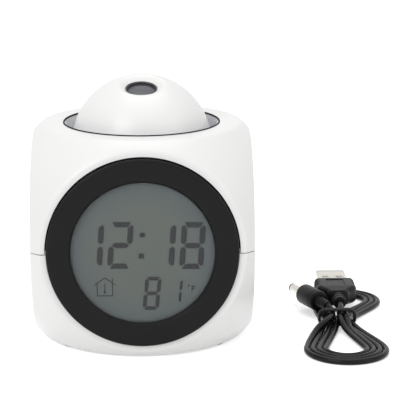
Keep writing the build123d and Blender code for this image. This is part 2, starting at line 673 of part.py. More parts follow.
with BuildPart(REAR) as rear_panel:
    drum(PANEL_R, PANEL_INNER, PANEL_OUTER)
    drum(PANEL_R + PANEL_LAP, PANEL_FLANGE_INNER, PANEL_FLANGE_OUTER)
    drum(PANEL_R + PANEL_LAP - PANEL_RIM, PANEL_FLANGE_INNER, PANEL_INNER, mode=Mode.SUBTRACT)
    drums(REAR_SCREW_PLACES, BOSS_R, REAR_BOARD_FRONT, PANEL_INNER)
    drums([(0, SPEAKER_UP)], SPEAKER_R + FIXED_GAP + SPEAKER_RING, RING_END, PANEL_INNER)
    drums([(0, SPEAKER_UP)], SPEAKER_R + FIXED_GAP, RING_END, PANEL_INNER, mode=Mode.SUBTRACT)
    drums(GRILLE_PLACES, GRILLE_HOLE_R, PANEL_INNER, PANEL_OUTER, mode=Mode.SUBTRACT)
    drums(KEY_PLACES, KEY_R + KEY_GAP, PANEL_INNER, PANEL_OUTER, mode=Mode.SUBTRACT)
    drums([JACK_PLACE], JACK_BUSH_R + FIXED_GAP, PANEL_INNER, PANEL_OUTER, mode=Mode.SUBTRACT)
    with Locations((SLIDER_X, -LOWER_ROW_DOWN, (PANEL_INNER + PANEL_OUTER) / 2)):
        Box(
            SLIDER_WIDTH + SLIDER_TRAVEL + 2 * KEY_GAP,
            SLIDER_TALL + 2 * KEY_GAP,
            PANEL_THICK,
            mode=Mode.SUBTRACT,
        )
    drums(
        REAR_SCREW_PLACES,
        SMALL_SCREW_R,
        REAR_BOARD_FRONT,
        REAR_BOARD_BACK + SMALL_SCREW_LENGTH + FIXED_GAP,
        mode=Mode.SUBTRACT,
    )
keep(rear_panel, "rear_panel")

with BuildPart(REAR) as key_board:
    with Locations((0, -(KEY_DOWN + LOWER_ROW_DOWN) / 2, (REAR_BOARD_FRONT + REAR_BOARD_BACK) / 2)):
        Box(REAR_BOARD_WIDTH, REAR_BOARD_TALL, REAR_BOARD_THICK)
    drums(
        REAR_SCREW_PLACES,
        SMALL_SCREW_R + FIXED_GAP,
        REAR_BOARD_BACK,
        REAR_BOARD_FRONT,
        mode=Mode.SUBTRACT,
    )
keep(key_board, "key_board")

with BuildPart() as board_screws:
    for plane, places, back in (
        (FRONT, BOARD_SCREW_PLACES, BOARD_BACK),
        (REAR, REAR_SCREW_PLACES, REAR_BOARD_BACK),
    ):
        for x, z in places:
            with Locations(plane.location * Location((x, z, back))):
                Cylinder(SMALL_SCREW_R, SMALL_SCREW_LENGTH, align=STANDING)
                Cylinder(SMALL_HEAD_R, SMALL_HEAD_THICK, align=HANGING)
keep(board_screws, "board_screws")

with BuildPart(REAR) as key_switches:
    with Locations(*[(x, y, REAR_BOARD_FRONT + SWITCH_THICK / 2) for x, y in KEY_PLACES]):
        Box(SWITCH_SIDE, SWITCH_SIDE, SWITCH_THICK)
    drums(KEY_PLACES, PLUNGER_R, SWITCH_FRONT, PLUNGER_END)
keep(key_switches, "key_switches")

for name, place in zip(KEY_NAMES, KEY_PLACES):
    with BuildPart(REAR) as key:
        drums([place], KEY_R, PANEL_INNER, PANEL_OUTER + KEY_PROUD)
        fillet(key.edges().group_by(Axis.Y)[-1], KEY_ROUND)
        drums([place], KEY_R + KEY_FLANGE, PANEL_INNER - KEY_FLANGE_THICK, PANEL_INNER)
        drums([place], KEY_STEM_R, KEY_STEM_END, PANEL_INNER)
    keep(key, name)

with BuildPart(SPEAKER) as speaker_frame:
    drum(SPEAKER_R, PANEL_INNER - SPEAKER_THICK, PANEL_INNER)
    with Locations((0, 0, PANEL_INNER - CONE_DEEP / 2)):
        Cone(CONE_INNER_R, CONE_OUTER_R, CONE_DEEP, mode=Mode.SUBTRACT)
keep(speaker_frame, "speaker_frame")

with BuildPart(SPEAKER) as speaker_cone:
    with Locations((0, 0, PANEL_INNER - CONE_DEEP / 2)):
        Cone(CONE_INNER_R, CONE_OUTER_R, CONE_DEEP)
    with Locations((0, 0, PANEL_INNER - CONE_DEEP / 2 + CONE_THICK)):
        Cone(CONE_INNER_R, CONE_OUTER_R, CONE_DEEP, mode=Mode.SUBTRACT)
keep(speaker_cone, "speaker_cone")

with BuildPart(SPEAKER) as speaker_magnet:
    drum(MAGNET_R, PANEL_INNER - SPEAKER_THICK - MAGNET_THICK, PANEL_INNER - SPEAKER_THICK)
keep(speaker_magnet, "speaker_magnet")

with BuildPart(REAR) as projector_slider:
    with Locations((SLIDER_REST_X, -LOWER_ROW_DOWN, 0)):
        with Locations((0, 0, (PANEL_INNER + PANEL_OUTER + SLIDER_PROUD) / 2)):
            Box(SLIDER_WIDTH, SLIDER_TALL, PANEL_THICK + SLIDER_PROUD)
        with Locations((0, 0, PANEL_INNER - SLIDER_FLANGE_THICK / 2)):
            Box(SLIDER_FLANGE_WIDTH, SLIDER_TALL + 2 * KEY_FLANGE, SLIDER_FLANGE_THICK)
        with Locations((0, 0, (SLIDER_STEM_END + PANEL_INNER) / 2)):
            Box(SLIDER_STEM, SLIDER_STEM, PANEL_INNER - SLIDER_STEM_END)
        # finger grooves across the knob
        with Locations(*[(x, 0, PANEL_OUTER + SLIDER_PROUD) for x in (-1.1, 0, 1.1)]):
            Box(0.4, SLIDER_TALL, 0.5, mode=Mode.SUBTRACT)
keep(projector_slider, "projector_slider")

with BuildPart(REAR) as slider_switch:
    with Locations((SLIDER_X, -LOWER_ROW_DOWN, (REAR_BOARD_FRONT + SLIDER_SWITCH_FRONT) / 2)):
        Box(SLIDER_SWITCH_WIDTH, SLIDER_SWITCH_TALL, SLIDER_SWITCH_FRONT - REAR_BOARD_FRONT)
    slot_low = SLIDER_STEM_END - FIXED_GAP
    with Locations((SLIDER_X, -LOWER_ROW_DOWN, (slot_low + SLIDER_SWITCH_FRONT) / 2)):
        Box(
            SLIDER_STEM + SLIDER_TRAVEL + 2 * KEY_GAP,
            SLIDER_STEM + 2 * KEY_GAP,
            SLIDER_SWITCH_FRONT - slot_low,
            mode=Mode.SUBTRACT,
        )
keep(slider_switch, "slider_switch")

with BuildPart(REAR) as dc_jack:
    with Locations((*JACK_PLACE, (REAR_BOARD_FRONT + PANEL_INNER) / 2)):
        Box(JACK_SIDE, JACK_SIDE, PANEL_INNER - REAR_BOARD_FRONT)
    drums([JACK_PLACE], JACK_BUSH_R, PANEL_INNER, PANEL_OUTER)
    drums([JACK_PLACE], JACK_BORE_R, JACK_BORE_END, PANEL_OUTER, mode=Mode.SUBTRACT)
keep(dc_jack, "dc_jack")

with BuildPart(REAR) as dc_jack_pin:
    drums([JACK_PLACE], JACK_PIN_R, JACK_BORE_END, PANEL_OUTER - JACK_PIN_SUNK)
keep(dc_jack_pin, "dc_jack_pin")

# ---------------------------------------------------------------- projector ball and its key

with BuildPart() as ball_carrier:
    drum(CARRIER_R, CARRIER_BOTTOM_Z, INNER_TOP_Z)
    drum(NECK_R, INNER_TOP_Z, DISH_TOP_Z)
    drum(CARRIER_INNER_R, CARRIER_BOTTOM_Z, DISH_TOP_Z, mode=Mode.SUBTRACT)
    with Locations((0, 0, DISH_TOP_Z - DISH_DEEP / 2)):
        Cone(CARRIER_INNER_R, CARRIER_INNER_R + DISH_FLARE, DISH_DEEP, mode=Mode.SUBTRACT)
    with Locations(TRUNNION):
        Cylinder(PIN_R + RUNNING_GAP, 4 * CARRIER_R, mode=Mode.SUBTRACT)
keep(ball_carrier, "ball_carrier")

with BuildPart() as one_spring:
    with BuildLine() as coil:
        Helix(
            (SPRING_TALL - 4 * SPRING_WIRE_R) / SPRING_TURNS,
            SPRING_TALL - 4 * SPRING_WIRE_R,
            SPRING_R,
        )
    with BuildSketch(Plane(origin=coil.line @ 0, z_dir=coil.line % 0)):
        Circle(SPRING_WIRE_R)
    sweep(is_frenet=True)

with BuildPart() as carrier_springs:
    with Locations(
        *[
            (
                SPRING_CIRCLE_R * cos(radians(angle)),
                SPRING_CIRCLE_R * sin(radians(angle)),
                LEDGE_Z + 2 * SPRING_WIRE_R,
            )
            for angle in SPRING_ANGLES
        ]
    ):
        add(one_spring.part)
keep(carrier_springs, "carrier_springs")

with BuildPart() as snooze_switch:
    with Locations((0, SPRING_CIRCLE_R, LEDGE_Z + SNOOZE_SWITCH_TALL / 2)):
        Box(SWITCH_SIDE, SNOOZE_SWITCH_DEEP, SNOOZE_SWITCH_TALL)
    drums(
        [(0, SPRING_CIRCLE_R)],
        SNOOZE_PLUNGER_R,
        LEDGE_Z + SNOOZE_SWITCH_TALL,
        CARRIER_BOTTOM_Z - PRESS_TRAVEL - FIXED_GAP,
    )
keep(snooze_switch, "snooze_switch")

with BuildPart(BALL) as ball_shell:
    Sphere(BALL_R)
    Sphere(BALL_R - BALL_WALL, mode=Mode.SUBTRACT)
    # lens tube under the pole, posts for the lamp board, and posts that join the halves
    drum(LENS_HOLE_R + LENS_TUBE_WALL, LENS_TOP - LENS_TUBE, BALL_R)
    drums(LAMP_POST_PLACES, LAMP_POST_R, -BALL_R, LAMP_BOARD_LOW)
    drums(BALL_POST_PLACES, BALL_POST_R, -BALL_R, BALL_R)
    Sphere(BALL_R, mode=Mode.INTERSECT)
    drum(LENS_HOLE_R, LENS_TOP - LENS_TUBE, BALL_R, mode=Mode.SUBTRACT)
    with Locations((0, 0, (LENS_TOP + BALL_R) / 2)):
        Cone(
            LENS_HOLE_R,
            LENS_HOLE_R + DISH_SLOPE * (BALL_R - LENS_TOP),
            BALL_R - LENS_TOP,
            mode=Mode.SUBTRACT,
        )
    drum(LEAD_HOLE_R, -BALL_R, LAMP_BOARD_LOW - LAMP_SCREW_LENGTH, mode=Mode.SUBTRACT)
    drums(BALL_POST_PLACES, BALL_HEAD_R + FIXED_GAP, -BALL_R, BALL_HEAD_LOW, mode=Mode.SUBTRACT)
    drums(BALL_POST_PLACES, SMALL_SCREW_R, BALL_HEAD_LOW, BALL_SCREW_TOP + FIXED_GAP, mode=Mode.SUBTRACT)
    drums(
        LAMP_POST_PLACES,
        LAMP_SCREW_R,
        LAMP_BOARD_LOW - LAMP_SCREW_LENGTH - FIXED_GAP,
        LAMP_BOARD_LOW,
        mode=Mode.SUBTRACT,
    )
    with Locations(Location((0, 0, 0), (0, 90, 0))):
        Cylinder(PIN_R, 4 * BALL_R, mode=Mode.SUBTRACT)

with BuildPart() as ball_cap:
    add(ball_shell.part)
    split(bisect_by=BALL, keep=Keep.TOP)
keep(ball_cap, "ball_cap")

with BuildPart() as ball_base:
    add(ball_shell.part)
    split(bisect_by=BALL, keep=Keep.BOTTOM)
keep(ball_base, "ball_base")

with BuildPart(TRUNNION) as trunnion_pins:
    for side in (-1, 1):
        ends = sorted((side * PIN_START, side * (CARRIER_R - FIXED_GAP)))
        drum(PIN_R, *ends)
        ends = sorted((side * PIN_START, side * (PIN_START + PIN_HEAD_THICK)))
        drum(PIN_HEAD_R, *ends)
keep(trunnion_pins, "trunnion_pins")

with BuildPart(BALL) as ball_screws:
    drums(BALL_POST_PLACES, SMALL_SCREW_R, BALL_HEAD_LOW, BALL_SCREW_TOP)
    drums(BALL_POST_PLACES, BALL_HEAD_R, BALL_HEAD_LOW - SMALL_HEAD_THICK, BALL_HEAD_LOW)
    drums(LAMP_POST_PLACES, LAMP_SCREW_R, LAMP_BOARD_LOW - LAMP_SCREW_LENGTH, LIGHT_BOX_LOW)
    drums(LAMP_POST_PLACES, LAMP_HEAD_R, LIGHT_BOX_LOW, LIGHT_BOX_LOW + LAMP_HEAD_THICK)
keep(ball_screws, "ball_screws")

with BuildPart(BALL) as lens_ring:
    drum(BARREL_R, LENS_TOP - LENS_RING_DEEP, LENS_TOP)
    drum(LENS_R, LENS_TOP - LENS_RING_DEEP, LENS_TOP, mode=Mode.SUBTRACT)
    chamfer(round_edges(lens_ring, LENS_R).sort_by(Axis.Z)[-1], 0.35)
keep(lens_ring, "lens_ring")

with BuildPart(BALL) as projection_lens:
    drum(LENS_R, LENS_TOP - LENS_DEEP, LENS_TOP)
    with Locations((0, 0, LENS_TOP - LENS_APEX_SUNK - LENS_CURVE_R)):
        Sphere(LENS_CURVE_R, mode=Mode.INTERSECT)
keep(projection_lens, "projection_lens")

with BuildPart(BALL) as lens_barrel:
    drum(BARREL_R, BARREL_LOW, LENS_TOP - LENS_RING_DEEP)
    drum(LENS_R, BARREL_LOW, LENS_TOP - LENS_RING_DEEP, mode=Mode.SUBTRACT)
keep(lens_barrel, "lens_barrel")

with BuildPart(BALL) as slide_lcd:
    with Locations((0, 0, BARREL_LOW - SLIDE_THICK / 2)):
        Box(SLIDE_SIDE, SLIDE_SIDE, SLIDE_THICK)
keep(slide_lcd, "slide_lcd")

with BuildPart(BALL) as light_box:
    drum(LIGHT_BOX_R, LIGHT_BOX_LOW, SLIDE_LOW)
    drum(LIGHT_BOX_R - LIGHT_BOX_WALL, LIGHT_BOX_LOW, SLIDE_LOW, mode=Mode.SUBTRACT)
    drum(LIGHT_BOX_R - LIGHT_BOX_WALL, CONDENSER_LOW - 1.0, CONDENSER_LOW)
    drum(CONDENSER_R - 1.0, CONDENSER_LOW - 1.0, CONDENSER_LOW, mode=Mode.SUBTRACT)
keep(light_box, "light_box")

with BuildPart(BALL) as condenser_lens:
    drum(CONDENSER_R, CONDENSER_LOW, CONDENSER_LOW + CONDENSER_THICK)
    with Locations((0, 0, CONDENSER_LOW + CONDENSER_THICK - CONDENSER_CURVE_R)):
        Sphere(CONDENSER_CURVE_R, mode=Mode.INTERSECT)
keep(condenser_lens, "condenser_lens")

with BuildPart(BALL) as projector_led:
    drum(LED_R, LIGHT_BOX_LOW, LIGHT_BOX_LOW + LED_TALL - LED_R)
    with Locations((0, 0, LIGHT_BOX_LOW + LED_TALL - LED_R)):
        Sphere(LED_R)
keep(projector_led, "projector_led")

with BuildPart(BALL) as lamp_board:
    drum(LAMP_BOARD_R, LAMP_BOARD_LOW, LIGHT_BOX_LOW)
    drums(LAMP_POST_PLACES, LAMP_SCREW_R + FIXED_GAP, LAMP_BOARD_LOW, LIGHT_BOX_LOW, mode=Mode.SUBTRACT)
keep(lamp_board, "lamp_board")

with BuildPart(BALL) as ball_lead:
    drum(LEAD_R, -BALL_R + 0.4, LAMP_BOARD_LOW)
keep(ball_lead, "ball_lead")

# ---------------------------------------------------------------- battery box

with BuildPart() as battery_cells:
    for index, x in enumerate(CELL_PLACES):
        turn = 90 if index % 2 else -90
        with Locations(Location((x, CELL_MIDDLE_Y * (-1 if index % 2 else 1), CELL_Z), (turn, 0, 0))):
            Cylinder(CELL_R, CELL_LENGTH - CELL_PIP)
            with Locations((0, 0, CELL_LENGTH / 2)):
                Cylinder(CELL_PIP_R, CELL_PIP)
keep(battery_cells, "battery_cells")

with BuildPart() as one_cell_spring:
    with BuildLine() as cell_coil:
        Helix(CELL_SPRING_LENGTH / CELL_SPRING_TURNS, CELL_SPRING_LENGTH, CELL_SPRING_R)
    with BuildSketch(Plane(origin=cell_coil.line @ 0, z_dir=cell_coil.line % 0)):
        Circle(CELL_SPRING_WIRE_R)
    sweep(is_frenet=True)

with BuildPart() as battery_contacts:
    for side in (-1, 1):
        wall_y = side * (BOX_LENGTH / 2 - CONTACT_THICK / 2)
        with Locations(*[(x, wall_y, CELL_Z) for x in CELL_PLACES]):
            Box(CONTACT_SIDE, CONTACT_THICK, CONTACT_SIDE)
    for index, x in enumerate(CELL_PLACES):
        turn = 90 if index % 2 else -90
        y = (BOX_LENGTH / 2 - CONTACT_THICK - CELL_SPRING_END) * (1 if index % 2 else -1)
        with Locations(Location((x, y, CELL_Z), (turn, 0, 0))):
            add(one_cell_spring.part)
keep(battery_contacts, "battery_contacts")

with BuildPart() as battery_door:
    block(
        (-DOOR_HALF_WIDTH, DOOR_HALF_WIDTH),
        (DOOR_FRONT_Y, CASE_BACK_Y + WALL),
        (0, CASE_BOTTOM_Z + DOOR_THICK),
    )
    add(outline, mode=Mode.INTERSECT)
    block(
        (-DOOR_HALF_WIDTH - TONGUE_REACH, DOOR_HALF_WIDTH + TONGUE_REACH),
        (DOOR_FRONT_Y, BOX_LENGTH / 2 + DOOR_FRONT),
        (TONGUE_LOW_Z, TONGUE_LOW_Z + TONGUE_THICK),
    )
    for index in range(DOOR_GROOVES):
        y = DOOR_GROOVE_Y + index * DOOR_GROOVE_PITCH
        with Locations((0, y, CASE_BOTTOM_Z)):
            Box(DOOR_GROOVE_WIDTH - 2 * index, DOOR_GROOVE_PITCH / 2, 0.8, mode=Mode.SUBTRACT)
keep(battery_door, "battery_door")

# ---------------------------------------------------------------- on the main board, and leads

with BuildPart(FRONT) as board_chips:
    with Locations((0, -CHIP_DOWN, BOARD_BACK - CHIP_THICK / 2)):
        Cylinder(CHIP_R, CHIP_THICK)
    fillet(board_chips.edges().group_by(Axis.Y)[-1], CHIP_THICK * 0.6)
    with Locations((VOICE_CHIP_X, VOICE_CHIP_UP, BOARD_BACK - VOICE_CHIP_THICK / 2)):
        Box(VOICE_CHIP_WIDTH, VOICE_CHIP_TALL, VOICE_CHIP_THICK)
keep(board_chips, "board_chips")

with BuildPart(FRONT) as clock_crystal:
    with Locations(Location((CRYSTAL_X, CRYSTAL_UP, BOARD_BACK - CRYSTAL_R), (90, 0, 0))):
        Cylinder(CRYSTAL_R, CRYSTAL_LENGTH)
keep(clock_crystal, "clock_crystal")

with BuildPart(FRONT) as thermistor:
    with Locations((THERMISTOR_X, -THERMISTOR_DOWN, BOARD_BACK - THERMISTOR_R)):
        Sphere(THERMISTOR_R)
keep(thermistor, "thermistor")


def wire(points, radius, bend):
    """A round lead along straight runs joined by arcs of one radius."""
    with BuildPart() as lead:
        with BuildLine() as route:
            FilletPolyline(*points, radius=bend)
        with BuildSketch(Plane(origin=route.line @ 0, z_dir=route.line % 0)):
            Circle(radius)
        sweep()
    return lead.part


MAIN_BOARD_Y = -CASE_WIDTH / 2 - BOARD_BACK
KEY_BOARD_Y = CASE_WIDTH / 2 + REAR_BOARD_BACK
BALL_POLE = BALL.from_local_coords(Vector(0, 0, -BALL_R - LEAD_CLEAR))

# shares of the way from the main board to the ball: across, back and up
PROJECTOR_LEAD_SHARES = ((0, 0, 0), (0, 0.21, 0), (0.4, 0.51, 0.16), (0.9, 0.95, 0.25), (1, 1, 1))
with BuildPart() as projector_lead:
    lead_points = [
        (
            PROJECTOR_LEAD_X * (1 - across),
            MAIN_BOARD_Y + back * (BALL_POLE.Y - MAIN_BOARD_Y),
            PROJECTOR_LEAD_Z + up * (BALL_POLE.Z - PROJECTOR_LEAD_Z),
        )
        for across, back, up in PROJECTOR_LEAD_SHARES
    ]
    add(wire(lead_points, LEAD_R, PROJECTOR_LEAD_BEND))
keep(projector_lead, "projector_lead")

with BuildPart() as speaker_leads:
    for side in (-1, 1):
        x = side * SPEAKER_LEAD_X
        lead_y = CASE_WIDTH / 2 + PANEL_INNER - SPEAKER_THICK
        lead_z = CENTRE_Z + SPEAKER_UP - MAGNET_R - SPEAKER_LEAD_DROP
        key_row_z = CENTRE_Z - KEY_DOWN + SPEAKER_LEAD_END
        add(
            wire(
                [
                    (x, lead_y, lead_z),
                    (x, KEY_BOARD_Y - SPEAKER_LEAD_OUT, lead_z),
                    (x, KEY_BOARD_Y - SPEAKER_LEAD_OUT, key_row_z),
                    (x, KEY_BOARD_Y, key_row_z),
                ],
                THIN_LEAD_R,
                THIN_LEAD_BEND,
            )
        )
keep(speaker_leads, "speaker_leads")

with BuildPart() as battery_leads:
    for side in (-1, 1):
        x = side * BATTERY_LEAD_X
        box_front = -BOX_LENGTH / 2 - BOX_WALL
        half_way = (box_front + MAIN_BOARD_Y) / 2
        add(
            wire(
                [
                    (x, box_front, CELL_Z),
                    (x, half_way, CELL_Z),
                    (x, half_way, CELL_Z + BATTERY_LEAD_RISE),
                    (x, MAIN_BOARD_Y, CELL_Z + BATTERY_LEAD_RISE),
                ],
                THIN_LEAD_R,
                0.4 * (box_front - half_way),
            )
        )
keep(battery_leads, "battery_leads")

with BuildPart() as key_ribbon:
    with BuildSketch(Plane.YZ) as ribbon_side:
        with BuildLine() as ribbon_line:
            FilletPolyline(
                (KEY_BOARD_Y, RIBBON_Z),
                (KEY_BOARD_Y - RIBBON_REACH, RIBBON_Z),
                (RIBBON_REACH / 2, RIBBON_Z - RIBBON_SAG),
                (-RIBBON_REACH, RIBBON_Z - RIBBON_SAG),
                (MAIN_BOARD_Y + RIBBON_REACH, RIBBON_Z),
                (MAIN_BOARD_Y, RIBBON_Z),
                radius=RIBBON_BEND,
            )
        trace(line_width=RIBBON_THICK)
    extrude(amount=RIBBON_WIDTH / 2, both=True)
keep(key_ribbon, "key_ribbon")

# ---------------------------------------------------------------- power lead

LEAD = Plane((LEAD_X, LEAD_Y, 0))
DC_PLUG = Plane(
    (LEAD_X + DC_END[0], LEAD_Y + DC_END[1], LOBE_THICK + DC_GRIP_R),
    x_dir=(0, 0, 1),
    z_dir=(-sin(radians(DC_TURN)), cos(radians(DC_TURN)), 0),
)
USB_Z = LOBE_THICK + USB_GRIP_TALL / 2
# on this plane X is across the plug, Y is up and Z runs back along it
USB_PLUG = Plane((LEAD_X + USB_X, LEAD_Y + USB_END_Y, USB_Z), x_dir=(-1, 0, 0), z_dir=(0, 1, 0))
DC_BARREL_START = DC_RELIEF + DC_GRIP
DC_TIP_START = DC_BARREL_START + DC_BARREL
USB_SHELL_START = USB_RELIEF + USB_GRIP

with BuildPart() as power_lead_hank:
    for (lobe_x, lobe_y, lobe_r), side in ((NEAR_LOBE, -1), (FAR_LOBE, 1)):
        with BuildSketch(LEAD):
            with Locations((lobe_x, lobe_y)):
                Circle(lobe_r)
            with Locations((0, side * (TIE_WIDTH / 2 + TIE_GAP + 0.5))):
                Rectangle(2 * WAIST_HALF, 1.0)
            make_hull()
        extrude(amount=LOBE_THICK)
    block(
        (LEAD_X - WAIST_HALF, LEAD_X + WAIST_HALF),
        (LEAD_Y - WAIST_NEAR, LEAD_Y + DC_END[1] - CORD_R),
        (TIE_THICK, TIE_THICK + WAIST_TALL),
    )
    # where the cord leaves the hank for each plug
    with Locations(DC_PLUG):
        Cylinder(CORD_R, DC_END[1] - TIE_WIDTH / 2 - TIE_GAP, align=HANGING)
    with Locations(USB_PLUG):
        Cylinder(CORD_R, USB_END_Y - TIE_WIDTH / 2 - TIE_GAP, align=HANGING)
keep(power_lead_hank, "power_lead_hank")

with BuildPart() as lead_tie:
    block(
        (LEAD_X - WAIST_HALF - TIE_THICK, LEAD_X + WAIST_HALF + TIE_THICK),
        (LEAD_Y - TIE_WIDTH / 2, LEAD_Y + TIE_WIDTH / 2),
        (0, WAIST_TALL + 2 * TIE_THICK),
    )
    fillet(lead_tie.edges().filter_by(Axis.Y), TIE_THICK)
    block(
        (LEAD_X - WAIST_HALF, LEAD_X + WAIST_HALF),
        (LEAD_Y - TIE_WIDTH / 2, LEAD_Y + TIE_WIDTH / 2),
        (TIE_THICK, TIE_THICK + WAIST_TALL),
        mode=Mode.SUBTRACT,
    )
keep(lead_tie, "lead_tie")

with BuildPart(DC_PLUG) as dc_plug_grip:
    with Locations((0, 0, DC_RELIEF / 2)):
        Cone(DC_RELIEF_R * 0.8, DC_RELIEF_R, DC_RELIEF)
    drum(DC_GRIP_R, DC_RELIEF, DC_BARREL_START)
    fillet(round_edges(dc_plug_grip, DC_GRIP_R), 0.8)
keep(dc_plug_grip, "dc_plug_grip")

with BuildPart(DC_PLUG) as dc_plug_barrel:
    drum(DC_BARREL_R, DC_BARREL_START, DC_TIP_START)
    drum(DC_HOLE_R, DC_BARREL_START, DC_TIP_START, mode=Mode.SUBTRACT)
keep(dc_plug_barrel, "dc_plug_barrel")

with BuildPart(DC_PLUG) as dc_plug_tip:
    drum(DC_BARREL_R, DC_TIP_START, DC_TIP_START + DC_TIP)
    drum(DC_HOLE_R, DC_TIP_START, DC_TIP_START + DC_TIP, mode=Mode.SUBTRACT)
keep(dc_plug_tip, "dc_plug_tip")

with BuildPart(USB_PLUG) as usb_plug_grip:
    drum(USB_RELIEF_R, 0, USB_RELIEF)
    with BuildSketch(USB_PLUG.offset(USB_RELIEF)):
        RectangleRounded(USB_GRIP_NECK, USB_GRIP_TALL - 1.0, USB_GRIP_ROUND)
    with BuildSketch(USB_PLUG.offset(USB_RELIEF + USB_GRIP_TAPER)):
        RectangleRounded(USB_GRIP_WIDTH, USB_GRIP_TALL, USB_GRIP_ROUND)
    loft()
    with BuildSketch(USB_PLUG.offset(USB_RELIEF + USB_GRIP_TAPER)):
        RectangleRounded(USB_GRIP_WIDTH, USB_GRIP_TALL, USB_GRIP_ROUND)
    extrude(amount=USB_GRIP - USB_GRIP_TAPER)
keep(usb_plug_grip, "usb_plug_grip")

with BuildPart(USB_PLUG) as usb_plug_shell:
    inner_width = USB_SHELL_WIDTH - 2 * USB_SHELL_WALL
    inner_tall = USB_SHELL_TALL - 2 * USB_SHELL_WALL
    with Locations((0, 0, USB_SHELL_START + USB_SHELL / 2)):
        Box(USB_SHELL_WIDTH, USB_SHELL_TALL, USB_SHELL)
        Box(inner_width, inner_tall, USB_SHELL, mode=Mode.SUBTRACT)
    window_z = USB_SHELL_START + USB_WINDOW_Y
    with Locations((-USB_WINDOW_X, 0, window_z), (USB_WINDOW_X, 0, window_z)):
        Box(USB_WINDOW[0], 2 * USB_SHELL_TALL, USB_WINDOW[1], mode=Mode.SUBTRACT)
keep(usb_plug_shell, "usb_plug_shell")

with BuildPart(USB_PLUG) as usb_plug_tongue:
    block(
        (-inner_width / 2, inner_width / 2),
        (-inner_tall / 2, -inner_tall / 2 + USB_TONGUE_TALL),
        (USB_SHELL_START, USB_SHELL_START + USB_SHELL - 0.4),
    )
keep(usb_plug_tongue, "usb_plug_tongue")
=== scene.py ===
import json
from math import cos, pi, radians, sin, sqrt, tan

import bpy
import numpy as np
from mathutils import Matrix, Vector

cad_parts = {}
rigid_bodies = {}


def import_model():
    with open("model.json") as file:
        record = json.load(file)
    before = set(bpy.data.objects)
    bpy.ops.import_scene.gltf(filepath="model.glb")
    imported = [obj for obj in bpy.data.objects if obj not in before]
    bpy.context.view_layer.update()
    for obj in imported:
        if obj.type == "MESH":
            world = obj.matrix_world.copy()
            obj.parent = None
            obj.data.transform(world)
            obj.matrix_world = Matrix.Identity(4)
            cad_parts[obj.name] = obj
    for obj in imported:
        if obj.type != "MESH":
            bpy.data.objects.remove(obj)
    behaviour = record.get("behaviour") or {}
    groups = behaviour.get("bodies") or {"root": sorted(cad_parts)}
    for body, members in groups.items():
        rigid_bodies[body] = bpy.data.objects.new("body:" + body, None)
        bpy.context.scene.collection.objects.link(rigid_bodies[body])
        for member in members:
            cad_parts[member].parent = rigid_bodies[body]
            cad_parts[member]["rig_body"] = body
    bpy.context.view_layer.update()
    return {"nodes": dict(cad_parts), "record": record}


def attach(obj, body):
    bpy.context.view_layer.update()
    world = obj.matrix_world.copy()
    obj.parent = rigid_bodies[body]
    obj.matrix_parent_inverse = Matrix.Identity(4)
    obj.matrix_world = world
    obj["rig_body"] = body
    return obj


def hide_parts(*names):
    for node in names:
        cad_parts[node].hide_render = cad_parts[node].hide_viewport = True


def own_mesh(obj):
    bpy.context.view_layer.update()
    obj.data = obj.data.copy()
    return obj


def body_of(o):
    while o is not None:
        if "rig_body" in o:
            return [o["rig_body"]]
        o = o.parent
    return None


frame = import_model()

# A projection alarm clock: white ABS case, black bezel, reflective display and a projector ball.
# Shapes are worked out in millimetres, in the frame of the CAD model: +Z up, the display faces -Y.

MM = 0.001

# ------------------------------------------------------------------ sizes, as in the part's source

CASE_HALF_WIDTH = 42.5
CASE_TOP_Z = 83.9
CENTRE_Z = 41.55
WALL = 2.2
SEAT_CLEAR = 0.1  # between a piece and the seat round it

BEZEL_R = 36.3
BEZEL_FLANGE_R = 37.7
BEZEL_PROUD = 1.5
BEZEL_BACK = -3.6
WINDOW_R = 27.1
GLASS_R = 28.5
WINDOW_THICK = 0.85
LCD_FRONT = -1.0

BALL_Z = 75.0
BALL_R = 27.5
BALL_WALL = 1.8
BALL_TILT = radians(17.0)
LENS_DISH_R = 9.0
LENS_HOLE_R = 6.2
LENS_TOP = 24.186
LENS_R = 5.5
WELL_R = 30.8
NECK_R = 30.2

LEAD_X = 78.0
LEAD_Y = -3.0
CORD_R = 1.2

# ------------------------------------------------------------------ camera

CAMERA_AT = Vector((0.0003, -0.6965, 0.2169))
PITCH = 0.237
YAW = 0.037
SENSOR_WIDE = 36.0
FOCAL_LENGTH = 156.01
ahead = Vector((sin(YAW) * cos(PITCH), cos(YAW) * cos(PITCH), -sin(PITCH)))
right = Vector((cos(YAW), -sin(YAW), 0.0))
upward = right.cross(ahead)
camera_data = bpy.data.cameras.new("camera")
camera_data.sensor_width = SENSOR_WIDE
camera_data.lens = FOCAL_LENGTH
camera = bpy.data.objects.new("camera", camera_data)
facing = Matrix((right, upward, -ahead)).transposed().to_4x4()
camera.matrix_world = Matrix.Translation(CAMERA_AT) @ facing
bpy.context.scene.collection.objects.link(camera)
bpy.context.scene.camera = camera

# ------------------------------------------------------------------ materials


def colour(hex_code):
    """An sRGB hex value as linear red, green, blue and alpha."""
    parts = [int(hex_code[i : i + 2], 16) / 255 for i in (1, 3, 5)]
    return [c / 12.92 if c <= 0.04045 else ((c + 0.055) / 1.055) ** 2.4 for c in parts] + [1.0]


def add_node(tree, kind, inputs=None, **settings):
    """Add a shader node; an input given as a socket is linked, any other is set."""
    made = tree.nodes.new("ShaderNode" + kind)
    for name, value in settings.items():
        setattr(made, name, value)
    for name, value in (inputs or {}).items():
        if isinstance(value, bpy.types.NodeSocket):
            tree.links.new(value, made.inputs[name])
        else:
            made.inputs[name].default_value = value
    return made


NOISE_LOW, NOISE_HIGH = 0.3, 0.7  # nearly all of a noise lies between these


